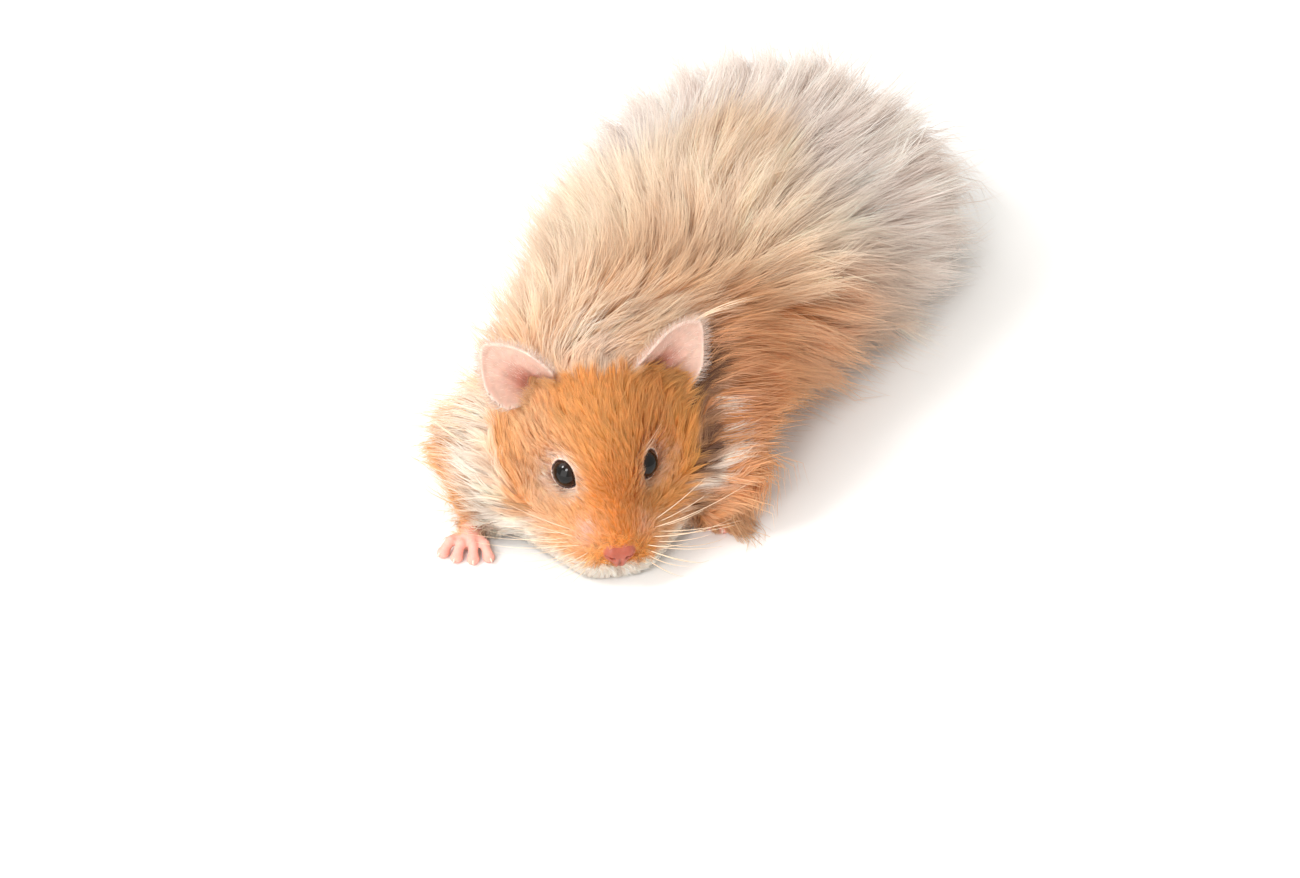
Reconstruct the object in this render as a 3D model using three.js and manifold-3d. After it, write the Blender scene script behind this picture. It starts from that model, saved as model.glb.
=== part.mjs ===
// A long-haired Syrian hamster, walking, as a still life-size model. Millimetres, +Z up.
// The animal faces -Y, its left side is +X, and its feet stand on z = 0.
// The solids are the coat's outer form, out to the tips of the hair. The origin is on the floor
// under the middle of the whole model's box.
import * as THREE from "three";
import { mergeVertices } from "three/addons/utils/BufferGeometryUtils.js";
import Module from "manifold-3d";

const wasm = await Module();
wasm.setup();

// ---------------------------------------------------------------- driving dimensions

const GAP = 0.3; // between neighbouring pieces
const FLOOR_CLEARANCE = 1.2; // between the floor and the hanging coat
const HEAD_YAW = 33; // degrees, towards the animal's left
const HEAD_PITCH = 18; // degrees, nose down
const EYE_MIDDLE = [3.4, -65, 19.8]; // the point midway between the eyes
const EYE_RADIUS = 3.5;
const EYE_PLACE = [-1.2, 7.8, -0.6]; // an eyeball's centre: forward, out and up
const EYE_LOOKS = [0.55, 0.76, 0.35]; // the way its pupil points: forward, out and up
const EYE_DISH = { set: 6.2, radius: 5.6 }; // the hollow in the coat that bares the eye
const EAR_LENGTH = 15;
const EAR_WIDTH = 13.5;
const EAR_THICKNESS = 0.9;
const TOE_RADIUS = 1.05;
const CLAW_RADIUS = 0.42;

const COLOURS = {
  gold: 0xd98a3f,
  cream: 0xe3b07c,
  pale: 0xd8c8bc,
  white: 0xf1ebe6,
  skin: 0xe0a09a,
  eye: 0x140c0c,
};
const UP = new THREE.Vector3(0, 0, 1);

// ---------------------------------------------------------------- the forms that are blended

const point = (x, y, z) => new THREE.Vector3(x, y, z);

// An ellipsoid as a distance function. turn is the quaternion that sets its axes.
function mass(centre, radii, turn = new THREE.Quaternion()) {
  const back = turn.clone().invert();
  const squared = radii.clone().multiply(radii);
  return (p) => {
    const local = p.clone().sub(centre).applyQuaternion(back);
    const near = local.clone().divide(radii).length();
    const slope = local.divide(squared).length();
    return slope < 1e-9 ? -Math.min(radii.x, radii.y, radii.z) : (near * (near - 1)) / slope;
  };
}

// A limb length that tapers from radius ra at a to radius rb at b.
function taper(a, b, ra, rb) {
  const along = b.clone().sub(a);
  const length2 = along.lengthSq();
  return (p) => {
    const share = THREE.MathUtils.clamp(p.clone().sub(a).dot(along) / length2, 0, 1);
    return p.distanceTo(a.clone().addScaledVector(along, share)) - THREE.MathUtils.lerp(ra, rb, share);
  };
}

// One smooth form from several: a fillet of about `soft` mm lies where they meet.
function blend(forms, soft) {
  return (p) =>
    forms
      .map((form) => form(p))
      .reduce((a, b) => {
        const h = Math.max(soft - Math.abs(a - b), 0) / soft;
        return Math.min(a, b) - (h * h * soft) / 4;
      });
}

// ---------------------------------------------------------------- solids

// A three.js shape as one closed surface, whose faces share their vertices.
function closed(geometry) {
  geometry.deleteAttribute("normal");
  geometry.deleteAttribute("uv");
  return mergeVertices(geometry, 1e-4);
}

function solidOf(geometry) {
  return new wasm.Manifold(
    new wasm.Mesh({
      numProp: 3,
      vertProperties: geometry.attributes.position.array,
      triVerts: new Uint32Array(geometry.index.array),
    }),
  );
}

// A sphere drawn out to a form's surface. reach is about the form's half size on each axis, pole is
// the way the sphere's poles point, and grow puts the surface that far outside the form.
function blob({ form, centre, reach, detail, pole }, grow = 0) {
  const sphere = closed(new THREE.SphereGeometry(1, ...detail));
  sphere.applyQuaternion(new THREE.Quaternion().setFromUnitVectors(point(0, 1, 0), pole));
  const at = sphere.attributes.position;
  const ray = new THREE.Vector3();
  const along = (share) => centre.clone().addScaledVector(ray, share);
  for (let i = 0; i < at.count; i++) {
    ray.fromBufferAttribute(at, i).multiply(reach);
    let outside = 1;
    while (form(along(outside)) < grow) outside += 0.25;
    let inside = Math.max(0, outside - 1);
    for (let step = 0; step < 24; step++) {
      const middle = (inside + outside) / 2;
      if (form(along(middle)) < grow) inside = middle;
      else outside = middle;
    }
    at.setXYZ(i, ...along(inside).toArray());
  }
  return solidOf(sphere);
}

function boxSolid(low, high) {
  const size = high.clone().sub(low);
  const middle = low.clone().add(high).multiplyScalar(0.5);
  return solidOf(closed(new THREE.BoxGeometry(...size.toArray())).translate(...middle.toArray()));
}

// A capsule from a to b, turned so that it lies between them.
function rod(a, b, radius, sides, rings) {
  const along = b.clone().sub(a);
  const capsule = closed(new THREE.CapsuleGeometry(radius, along.length(), rings, sides));
  capsule.applyQuaternion(
    new THREE.Quaternion().setFromUnitVectors(point(0, 1, 0), along.clone().normalize()),
  );
  return solidOf(capsule.translate(...a.clone().add(b).multiplyScalar(0.5).toArray()));
}

const join = (solids) => solids.reduce((a, b) => a.add(b));
const bulk = (solid) => solid.decompose().reduce((a, b) => (a.volume() > b.volume() ? a : b));
const without = (solid, ...neighbours) => neighbours.reduce((a, b) => a.subtract(b), solid);
const ALL_SPACE = 400;
const aboveFloor = (solid, height) =>
  solid.intersect(
    boxSolid(point(-ALL_SPACE, -ALL_SPACE, height), point(ALL_SPACE, ALL_SPACE, ALL_SPACE)),
  );
// The main body of a solid of flesh and coat, trimmed so that it hangs just clear of the floor.
const hung = (solid) => bulk(aboveFloor(solid, FLOOR_CLEARANCE));

// ---------------------------------------------------------------- the head

// The head's own axes: forward along the muzzle, to the animal's left, and up.
const yaw = THREE.MathUtils.degToRad(HEAD_YAW);
const pitch = THREE.MathUtils.degToRad(HEAD_PITCH);
const HEAD_FORWARD = point(
  Math.sin(yaw) * Math.cos(pitch),
  -Math.cos(yaw) * Math.cos(pitch),
  -Math.sin(pitch),
);
const HEAD_LEFT = point(Math.cos(yaw), Math.sin(yaw), 0);
const HEAD_UP = HEAD_FORWARD.clone().cross(HEAD_LEFT);
const HEAD_TURN = new THREE.Quaternion().setFromRotationMatrix(
  new THREE.Matrix4().makeBasis(HEAD_FORWARD, HEAD_LEFT, HEAD_UP),
);

const onHead = (forward, left, up) =>
  point(...EYE_MIDDLE)
    .addScaledVector(HEAD_FORWARD, forward)
    .addScaledVector(HEAD_LEFT, left)
    .addScaledVector(HEAD_UP, up);
const headMass = (place, radii) => mass(onHead(...place), point(...radii), HEAD_TURN);

const mirrored = (side, [forward, out, up]) => onHead(forward, side * out, up);
const eyeAxis = (side) => mirrored(side, EYE_LOOKS).sub(onHead(0, 0, 0)).normalize();
const eyeCentre = (side) => mirrored(side, EYE_PLACE);

const fullHead = blend(
  [
    headMass([-14, 0, 0.5], [17, 15.5, 14]), // cranium
    headMass([-4, 0, 1], [11, 9.2, 8.5]), // forehead and brow
    headMass([-8.5, 14.8, -11.5], [13.5, 13.8, 12.8]), // left cheek pouch
    headMass([-8.5, -14.8, -11.5], [13.5, 13.8, 12.8]), // right cheek pouch
    headMass([1.5, 0, -13], [14, 18.5, 7.5]), // jowls and throat
    taper(onHead(-1, 0, -2.5), onHead(12.5, 0, -6.8), 8.4, 5.2), // bridge of the muzzle
    headMass([11, 4.6, -10.5], [6.4, 5.2, 6.4]), // left whisker pad
    headMass([11, -4.6, -10.5], [6.4, 5.2, 6.4]), // right whisker pad
    headMass([10, 0, -13.5], [7, 7.5, 5]), // chin
  ],
  4,
);

// The head's form with a shallow hollow round each eye.
function headForm(p) {
  const hollow = (side) => {
    const middle = eyeCentre(side).addScaledVector(eyeAxis(side), EYE_DISH.set);
    return EYE_DISH.radius - p.distanceTo(middle);
  };
  return Math.max(fullHead(p), hollow(1), hollow(-1));
}
const noseForm = blend(
  [
    headMass([17.2, 1.3, -5.8], [1.9, 1.6, 1.9]),
    headMass([17.2, -1.3, -5.8], [1.9, 1.6, 1.9]),
    headMass([17, 0, -7.8], [1.7, 1, 1.9]),
  ],
  1.5,
);

const HEAD = {
  form: headForm,
  centre: onHead(-3, 0, -6),
  reach: point(22, 24, 16),
  detail: [24, 16],
  pole: HEAD_FORWARD,
};
const NOSE = {
  form: noseForm,
  centre: onHead(16.8, 0, -6.2),
  reach: point(2, 2, 2),
  detail: [10, 6],
  pole: HEAD_FORWARD,
};

function eyeSolid(side, grow = 0) {
  const ball = closed(new THREE.SphereGeometry(EYE_RADIUS + grow, 12, 8));
  return solidOf(ball.translate(...eyeCentre(side).toArray()));
}

// An ear is a thin rounded plate, cupped round its length, whose tip points out and back.
const EAR_ROOT = [-17.5, 13.5, 8]; // forward, out and up from the eyes' middle
const EAR_TIP = [-21.5, 23.2, 17];
const EAR_FACES = [0.95, 0.12, 0.3]; // where the hollow looks
const EAR_CUP = 0.055; // per mm: how fast the plate curls forward away from its midline
const EAR_POINT = 0.3; // how far the outline narrows towards the tip

function earSolid(side, grow = 0) {
  const root = mirrored(side, EAR_ROOT);
  const along = mirrored(side, EAR_TIP).sub(root).normalize();
  const facing = HEAD_FORWARD.clone()
    .multiplyScalar(EAR_FACES[0])
    .addScaledVector(HEAD_LEFT, side * EAR_FACES[1])
    .addScaledVector(HEAD_UP, EAR_FACES[2]);
  facing.addScaledVector(along, -facing.dot(along)).normalize();
  const across = along.clone().cross(facing);
  const plate = closed(new THREE.SphereGeometry(1, 12, 8));
  const at = plate.attributes.position;
  const v = new THREE.Vector3();
  for (let i = 0; i < at.count; i++) {
    v.fromBufferAttribute(at, i);
    const length = v.y * (EAR_LENGTH / 2 + grow);
    const width = v.x * (EAR_WIDTH / 2 + grow) * (1 - EAR_POINT * v.y);
    const thick = Math.sign(v.z) * Math.abs(v.z) ** 0.35 * (EAR_THICKNESS / 2 + grow);
    const curl = EAR_CUP * width * width;
    const p = root
      .clone()
      .addScaledVector(along, length + EAR_LENGTH * 0.42)
      .addScaledVector(across, width)
      .addScaledVector(facing, thick + curl);
    at.setXYZ(i, ...p.toArray());
  }
  return solidOf(plate);
}

// ---------------------------------------------------------------- the trunk, neck and tail

const TURN_BACK = 120; // a plane this far away cuts nothing
const neckForm = blend(
  [
    mass(point(-9, -44, 21), point(27, 15, 20)),
    mass(point(-11, -54, 10), point(22, 16, 10)),
  ],
  6,
);
const trunkForm = blend(
  [
    mass(point(-6, -26, 22), point(35.5, 27, 23)), // shoulders and ribs
    mass(point(-4, 7, 22), point(41, 33, 26)), // belly
    mass(point(0, 42, 21.5), point(43, 38, 26.5)), // loins and rump
    mass(point(-1, 39, 6), point(41, 41, 9)), // the skirt of long hair round the hips
    mass(point(-1.5, -2, 5), point(38.5, 40, 7)), // the skirt along the belly
    mass(point(-3, -34, 8), point(32, 20, 8)), // the long hair of the breast
  ],
  8,
);
const tailForm = taper(point(1, 72, 15), point(3, 84, 9.5), 3.4, 1.5);

const ALONG = point(0, 1, 0);
const NECK = {
  form: neckForm,
  centre: point(-10, -47, 16),
  reach: point(27, 18, 20),
  detail: [18, 10],
  pole: ALONG,
};
const TRUNK = {
  form: trunkForm,
  centre: point(-2, 16, 16),
  reach: point(44, 62, 28),
  detail: [24, 16],
  pole: ALONG,
};
const TAIL = {
  form: tailForm,
  centre: point(2, 78, 12),
  reach: point(3, 8, 4),
  detail: [8, 6],
  pole: ALONG,
};

// The trunk's lengths, parted by planes square to its line.
const TRUNK_CUTS = { chest: [-TURN_BACK, -8], abdomen: [-8, 34], rump: [34, TURN_BACK] };
function trunkLength([from, to]) {
  return boxSolid(
    point(-ALL_SPACE, from + GAP / 2, -ALL_SPACE),
    point(ALL_SPACE, to - GAP / 2, ALL_SPACE),
  );
}

// ---------------------------------------------------------------- legs and feet

// Each leg runs through its joints from the body down. reach is its blob's half size.
const LEGS = {
  foreleg_right: {
    joints: [point(-26, -49, 20), point(-31, -60.5, 12.5), point(-25.5, -72, 5.5)],
    radii: [12.3, 8.6, 4.5],
    reach: point(12, 15, 13),
  },
  foreleg_left: {
    joints: [point(20.5, -38, 19), point(23.5, -45, 12), point(23.3, -51, 6)],
    radii: [11, 7.4, 5],
    reach: point(10, 12, 13),
  },
  hindleg_right: {
    joints: [point(-22, 42, 20), point(-30, 28, 12), point(-28, 40, 6)],
    radii: [17, 10, 5],
    reach: point(17, 21, 16),
  },
  hindleg_left: {
    joints: [point(20, 44, 20), point(29, 30, 12), point(26, 42, 6)],
    radii: [17, 10, 5],
    reach: point(17, 21, 16),
  },
};

function legForm({ joints: [top, middle, low], radii: [wide, mid, thin] }) {
  return blend([taper(top, middle, wide, mid), taper(middle, low, mid, thin)], 4);
}
function legShape(leg) {
  const [top, middle, low] = leg.joints;
  const centre = top.clone().add(middle).add(middle).add(low).multiplyScalar(0.25);
  return { form: legForm(leg), centre, reach: leg.reach, detail: [11, 8], pole: UP };
}

// Each foot: its heel and knuckles on the floor, the way its toes spread and their lengths.
const FEET = {
  forepaw_right: { heel: [-24.4, -73], knuckles: [-23.3, -77.6], toes: 4, toe: 5.2, spread: 32 },
  forepaw_left: { heel: [23.5, -43.5], knuckles: [23.5, -47.5], toes: 4, toe: 5, spread: 26 },
  hindfoot_right: { heel: [-28, 44], knuckles: [-31, 33], toes: 5, toe: 5.4, spread: 22 },
  hindfoot_left: { heel: [26, 46], knuckles: [29, 35], toes: 5, toe: 5.4, spread: 22 },
};
const SOLE_HEIGHT = 2.1; // the height of the sole's middle line
const SOLE_RADIUS = 2.9;
const KNUCKLE_SPACING = 1.9;
const CLAW_LENGTH = 1.5;

function footSolid({ heel, knuckles, toes, toe, spread }, grow = 0) {
  const back = point(...heel, SOLE_HEIGHT);
  const front = point(...knuckles, SOLE_HEIGHT);
  const ahead = front.clone().sub(back).setZ(0).normalize();
  const across = ahead.clone().cross(UP);
  const parts = [rod(back, front, SOLE_RADIUS + grow, 8, 2)];
  for (let i = 0; i < toes; i++) {
    const place = i - (toes - 1) / 2;
    const turn = THREE.MathUtils.degToRad((-place * spread) / ((toes - 1) / 2));
    const way = ahead.clone().applyAxisAngle(UP, turn);
    const shorter = 1 - 0.12 * Math.abs(place);
    const root = front.clone().addScaledVector(across, place * KNUCKLE_SPACING);
    const tip = root.clone().addScaledVector(way, toe * shorter).setZ(TOE_RADIUS);
    const nail = tip.clone().addScaledVector(way, TOE_RADIUS + CLAW_LENGTH * 0.6).setZ(CLAW_RADIUS);
    parts.push(rod(root, tip, TOE_RADIUS + grow, 5, 2));
    parts.push(rod(tip, nail, CLAW_RADIUS + grow, 4, 1));
  }
  return join(parts);
}

// ---------------------------------------------------------------- the model

const solids = new Map();
const eyes = { eye_right: -1, eye_left: 1 };
const ears = { ear_right: -1, ear_left: 1 };

for (const [name, side] of Object.entries(eyes)) solids.set(name, eyeSolid(side));
for (const [name, side] of Object.entries(ears)) solids.set(name, earSolid(side));
solids.set("nose", blob(NOSE));
const eyeRoom = Object.values(eyes).map((side) => eyeSolid(side, GAP));
const earRoom = Object.values(ears).map((side) => earSolid(side, GAP));
const headRoom = blob(HEAD, GAP);
solids.set("head", hung(without(blob(HEAD), ...eyeRoom, ...earRoom, blob(NOSE, GAP))));

const footRoom = [];
for (const [name, foot] of Object.entries(FEET)) {
  solids.set(name, aboveFloor(footSolid(foot), 0));
  footRoom.push(footSolid(foot, GAP));
}
const nearLegs = [...footRoom, headRoom, ...earRoom];
const legRoom = [];
for (const [name, leg] of Object.entries(LEGS)) {
  solids.set(name, hung(without(blob(legShape(leg)), ...nearLegs)));
  legRoom.push(blob(legShape(leg), GAP));
}

solids.set("tail", hung(blob(TAIL)));
solids.set("neck", hung(without(blob(NECK), ...nearLegs, ...legRoom)));
const trunk = without(blob(TRUNK), ...nearLegs, ...legRoom, blob(NECK, GAP), blob(TAIL, GAP));
for (const [name, cuts] of Object.entries(TRUNK_CUTS))
  solids.set(name, hung(trunk.intersect(trunkLength(cuts))));

const FINISH = {
  nose: "skin",
  tail: "skin",
  neck: "cream",
  chest: "cream",
  abdomen: "cream",
  rump: "pale",
};
const finishOf = (name) =>
  FINISH[name] ??
  (name.startsWith("eye") ? "eye" : /^(ear|forepaw|hindfoot)/.test(name) ? "skin" : "gold");

function meshOf(name, solid) {
  const { numProp, vertProperties, triVerts } = solid.getMesh();
  const places = new Float32Array((vertProperties.length / numProp) * 3);
  for (let i = 0; i < places.length / 3; i++)
    places.set(vertProperties.subarray(i * numProp, i * numProp + 3), i * 3);
  const geometry = new THREE.BufferGeometry()
    .setAttribute("position", new THREE.BufferAttribute(places, 3))
    .setIndex(new THREE.BufferAttribute(triVerts, 1));
  const material = new THREE.MeshStandardMaterial({
    color: COLOURS[finishOf(name)],
    roughness: name.startsWith("eye") ? 0.05 : 0.8,
    metalness: 0,
  });
  const mesh = new THREE.Mesh(geometry, material);
  mesh.name = name;
  return mesh;
}

const hamster = new THREE.Group();
hamster.name = "hamster";
for (const [name, solid] of solids) hamster.add(meshOf(name, solid));

// The origin is on the floor under the middle of the model's box.
const middle = new THREE.Box3().setFromObject(hamster).getCenter(new THREE.Vector3());
hamster.position.set(-middle.x, -middle.y, 0);

export default hamster;
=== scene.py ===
"""A long-haired Syrian hamster, creeping forward with its head low, as a still life-size model.

The flesh and the coat are worked out in millimetres in the animal's own layout: it faces -Y, its
left side is +X and its feet stand on z = 0. OFFSET moves that layout onto the frame.
"""

import math

import bpy
import numpy as np
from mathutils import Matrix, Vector
from mathutils.bvhtree import BVHTree
from mathutils.kdtree import KDTree


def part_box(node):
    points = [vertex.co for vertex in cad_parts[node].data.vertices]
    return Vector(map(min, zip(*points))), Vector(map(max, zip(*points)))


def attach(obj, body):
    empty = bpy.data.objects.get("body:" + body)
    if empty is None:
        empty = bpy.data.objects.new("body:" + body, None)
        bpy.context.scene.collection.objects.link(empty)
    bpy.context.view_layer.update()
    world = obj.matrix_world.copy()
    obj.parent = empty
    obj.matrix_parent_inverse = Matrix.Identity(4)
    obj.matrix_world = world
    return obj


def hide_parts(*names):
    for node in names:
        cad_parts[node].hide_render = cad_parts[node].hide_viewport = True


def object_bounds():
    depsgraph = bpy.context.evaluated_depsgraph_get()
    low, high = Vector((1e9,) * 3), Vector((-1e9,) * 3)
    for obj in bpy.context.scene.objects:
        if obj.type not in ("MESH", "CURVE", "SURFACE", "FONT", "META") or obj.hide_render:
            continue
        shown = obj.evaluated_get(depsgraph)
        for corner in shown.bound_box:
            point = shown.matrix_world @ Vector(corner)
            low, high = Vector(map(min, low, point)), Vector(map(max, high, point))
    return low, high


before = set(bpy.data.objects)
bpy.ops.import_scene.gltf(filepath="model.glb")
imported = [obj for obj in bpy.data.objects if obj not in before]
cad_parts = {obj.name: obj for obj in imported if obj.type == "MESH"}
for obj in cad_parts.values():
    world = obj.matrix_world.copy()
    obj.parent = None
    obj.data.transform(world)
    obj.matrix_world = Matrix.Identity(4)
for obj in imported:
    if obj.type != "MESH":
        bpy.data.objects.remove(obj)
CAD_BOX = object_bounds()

rng = np.random.default_rng(20)

# ------------------------------------------------------------------ layout

HEAD_YAW, HEAD_PITCH = 33, 18  # degrees to its left, and down
EYE_MIDDLE = np.array([3.4, -65.0, 19.8])
EYE_RADIUS = 3.4
EYE_PLACE = (-1.2, 7.8, -0.6)
EYE_LOOKS = (0.55, 0.76, 0.35)


def direction(turn, rise):
    """The way that many degrees to the animal's left from ahead, and up."""
    turn, rise = math.radians(turn), math.radians(rise)
    return np.array([math.sin(turn) * math.cos(rise), -math.cos(turn) * math.cos(rise),
                     math.sin(rise)])


FORWARD = direction(HEAD_YAW, -HEAD_PITCH)
LEFT = np.array([math.cos(math.radians(HEAD_YAW)), math.sin(math.radians(HEAD_YAW)), 0.0])
UP = np.cross(FORWARD, LEFT)
HEAD_AXES = np.stack([FORWARD, LEFT, UP])


def on_head(place, side=1):
    """A point given as forward, out and up from the middle between the eyes."""
    return EYE_MIDDLE + np.array([place[0], side * place[1], place[2]]) @ HEAD_AXES


def head_way(way, side=1):
    """A unit way given as forward, out and up."""
    v = np.array([way[0], side * way[1], way[2]], float) @ HEAD_AXES
    return v / np.linalg.norm(v)


def in_head(points):
    """Forward, left and up from the middle between the eyes."""
    return (points - EYE_MIDDLE) @ HEAD_AXES.T


eye_left_box = np.array(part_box("eye_left")) * 1000
OFFSET = eye_left_box.mean(axis=0) - on_head(EYE_PLACE)


def to_frame(points):
    """From the layout's millimetres to the frame's metres."""
    return (np.asarray(points) + OFFSET) / 1000


# ------------------------------------------------------------------ smooth forms

def unit(v):
    return v / np.maximum(np.linalg.norm(v, axis=-1, keepdims=True), 1e-9)


def smooth(low, high, x):
    """0 up to low, 1 from high on."""
    t = np.clip((x - low) / (high - low), 0, 1)
    return t * t * (3 - 2 * t)


def dot(a, b):
    return np.einsum("ij,ij->i", a, b)


def distance(points, place):
    return np.linalg.norm(points - place, axis=1)


def fade(low, high, x):
    """1 up to low, 0 from high on."""
    return 1 - smooth(low, high, x)


def bump(middle, reach, x):
    """1 in the middle, about a third at its reach and nothing far from it."""
    return np.exp(-((x - middle) / reach) ** 2)


def ellipsoid(q, radii):
    """About how far points, given from an ellipsoid's centre, lie outside it."""
    q = q / radii
    near = np.sqrt(dot(q, q))
    q /= radii
    slope = np.sqrt(dot(q, q))
    return near * (near - 1) / np.maximum(slope, 1e-6)


def mass(centre, radii):
    centre, radii = np.array(centre, float), np.array(radii, float)
    return lambda p: ellipsoid(p - centre, radii)


def head_mass(place, radii):
    place, radii = np.array(place, float), np.array(radii, float)
    return lambda p: ellipsoid(in_head(p) - place, radii)


def taper(a, b, ra, rb):
    """A rod with round ends from a to b, whose radius runs from ra to rb."""
    a, b = np.array(a, float), np.array(b, float)
    along = b - a
    length2 = along @ along

    def form(p):
        d = p - a
        share = np.clip(d @ along / length2, 0, 1)
        d = d - share[:, None] * along
        return np.sqrt(dot(d, d)) - (ra + (rb - ra) * share)
    return form


def fillet(a, b, soft):
    """Forms a and b joined, with a rounded corner between them."""
    h = np.maximum(soft - np.abs(a - b), 0) / soft
    return np.minimum(a, b) - h * h * soft / 4


def carve(a, b, soft):
    """Form a with form b taken out of it."""
    return -fillet(-a, b, soft)


def blend(forms, soft):
    def form(p):
        found = forms[0](p)
        for other in forms[1:]:
            found = fillet(found, other(p), soft)
        return found
    return form


def slope_of(form, p, step):
    """The form's gradient, from the four corners of a small tetrahedron."""
    total = np.zeros_like(p)
    for corner in ((1, -1, -1), (-1, -1, 1), (-1, 1, -1), (1, 1, 1)):
        c = np.array(corner, float)
        total += form(p + c * step)[:, None] * c
    return total / (4 * step)


# ------------------------------------------------------------------ the flesh

SKULL = blend([
    head_mass((-13.5, 0, 0), (15.8, 14, 12.6)),
    head_mass((-4, 0, 0.5), (10.2, 8.5, 7.8)),
    *[head_mass((-9.5, s * 14.0, -10.8), (12.2, 11.8, 11.2)) for s in (1, -1)],
    head_mass((1.2, 0, -12.4), (13.2, 17.2, 6.9)),
    taper(on_head((-1, 0, -2.6)), on_head((12.4, 0, -6.7)), 7.7, 4.8),
    *[head_mass((11, s * 4.6, -10.4), (6.0, 5.0, 6.0)) for s in (1, -1)],
    head_mass((9.6, 0, -13.5), (6.4, 6.8, 4.6)),
], 4)
BODY = blend([
    mass((-5, -27, 19.5), (26, 25, 17.5)),
    mass((-3, 6, 20), (30, 32, 18.5)),
    mass((0, 40, 19.5), (31, 33, 18)),
    mass((-20, 42, 14.5), (13, 20, 12.5)),
    mass((19, 43, 14.5), (13, 20, 12.5)),
    mass((-7, -45, 18.5), (20, 15, 15)),
    mass((-5, -48, 11), (19, 15, 9)),
    taper((1, 66, 14), (3.2, 79, 9.5), 4.5, 1.9),
], 8)


def limb(top, middle, low, radii):
    wide, mid, mid_low, thin = radii
    return blend([taper(top, middle, wide, mid), taper(middle, low, mid_low, thin)], 3)


LIMBS = [
    limb((-20, -47, 18), (-28.8, -59.5, 12), (-24.6, -71.8, 4.9), (9, 5.6, 5.2, 2.7)),
    limb((17, -38, 17), (22.8, -44.5, 10.5), (22.6, -51, 4.6), (9, 6, 6, 3.4)),
    limb((-20, 40, 16), (-27, 29, 10), (-28, 43, 4.6), (11, 7, 6, 3)),
    limb((19, 42, 16), (25.5, 31, 10), (26, 45, 4.6), (11, 7, 6, 3)),
]

# Feet: heel and knuckles on the floor, number of toes, toe length and spread in degrees.
FEET = {
    "forepaw_right": ((-24.4, -73), (-23.3, -77.6), 4, 5.2, 32),
    "forepaw_left": ((23.5, -43.5), (23.5, -47.5), 4, 5.0, 26),
    "hindfoot_right": ((-28, 44), (-31, 33), 5, 5.4, 22),
    "hindfoot_left": ((26, 46), (29, 35), 5, 5.4, 22),
}
TOE_RADIUS = 1.15
CLAWS = {name: [] for name in FEET}


def foot_form(name):
    """A foot's form, its middle and how far it reaches from there."""
    heel, knuckles, toes, length, spread = FEET[name]
    back, front = np.array([*heel, 2.3]), np.array([*knuckles, 2.0])
    ahead = unit((front - back) * (1, 1, 0))
    across = np.cross(ahead, (0, 0, 1))
    parts = [taper(back, front, 2.5, 2.2)]
    for i in range(toes):
        place = i - (toes - 1) / 2
        turn = math.radians(-place * spread / ((toes - 1) / 2))
        c, s = math.cos(turn), math.sin(turn)
        way = np.array([ahead[0] * c - ahead[1] * s, ahead[0] * s + ahead[1] * c, 0])
        reach = length * (1 - 0.12 * abs(place))
        root = front + across * place * 1.8 + (0, 0, 0.1)
        bend = root + way * reach * 0.45 + (0, 0, 0.5)
        tip = root + way * reach
        tip[2] = 1.0
        parts.append(taper(root, bend, 1.2, 0.98))
        parts.append(taper(bend, tip, 0.96, TOE_RADIUS))
        parts.append(mass(tip - way * 0.15 + (0, 0, -0.2), (1.25, 1.25, 0.8)))
        CLAWS[name].append((tip + way * 0.75 + (0, 0, 0.25), way))
    form = blend(parts, 0.7)
    middle = (back + front) / 2 + ahead * 3
    return form, middle, 9.5 + 0.5 * np.linalg.norm(front - back)


FOOT_FORMS = [foot_form(name) for name in FEET]

EYES = {side: (on_head(EYE_PLACE, side), head_way(EYE_LOOKS, side)) for side in (1, -1)}


def eye_frame(side):
    """The eye's centre and its axes: out of the pupil, along the lids to the nose, and up."""
    centre, axis = EYES[side]
    nose_ward = FORWARD - 0.35 * UP
    nose_ward = unit(nose_ward - (nose_ward @ axis) * axis)
    return centre, axis, nose_ward, np.cross(axis, nose_ward) * side


EYE_FRAMES = {side: eye_frame(side) for side in (1, -1)}
LID_THICKNESS = 0.25


def lid_opening(a, b):
    """The distance from the eye's axis, and the angle at which the lids open on that side."""
    ring = np.maximum(np.hypot(a, b), 1e-6)
    x, y = a / ring, b / ring
    # a little longer than it is high, drawn out into a corner towards the nose
    corner = bump(-0.35, 0.28, np.arctan2(y, x))
    return ring, 1.02 + 0.05 * np.abs(x) + 0.2 * corner - 0.03 * np.maximum(y, 0)


def lid_gap(p, side):
    """How far a direction from the eye's centre lies outside the opening of the lids."""
    centre, axis, nose_ward, upward = EYE_FRAMES[side]
    d = p - centre
    far = np.maximum(np.linalg.norm(d, axis=1), 1e-6)
    angle = np.arccos(np.clip(d @ axis / far, -1, 1))
    _, opening = lid_opening(d @ nose_ward, d @ upward)
    return (angle - opening) * EYE_RADIUS, far


def from_lids(p, side):
    """About how far a place on the skin lies from the edge of the lids."""
    centre, axis, nose_ward, upward = EYE_FRAMES[side]
    d = p - centre
    ring, opening = lid_opening(d @ nose_ward, d @ upward)
    return ring + np.maximum(-(d @ axis), 0) - EYE_RADIUS * np.sin(opening)


def from_both_lids(p):
    return np.minimum(from_lids(p, 1), from_lids(p, -1))


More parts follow.
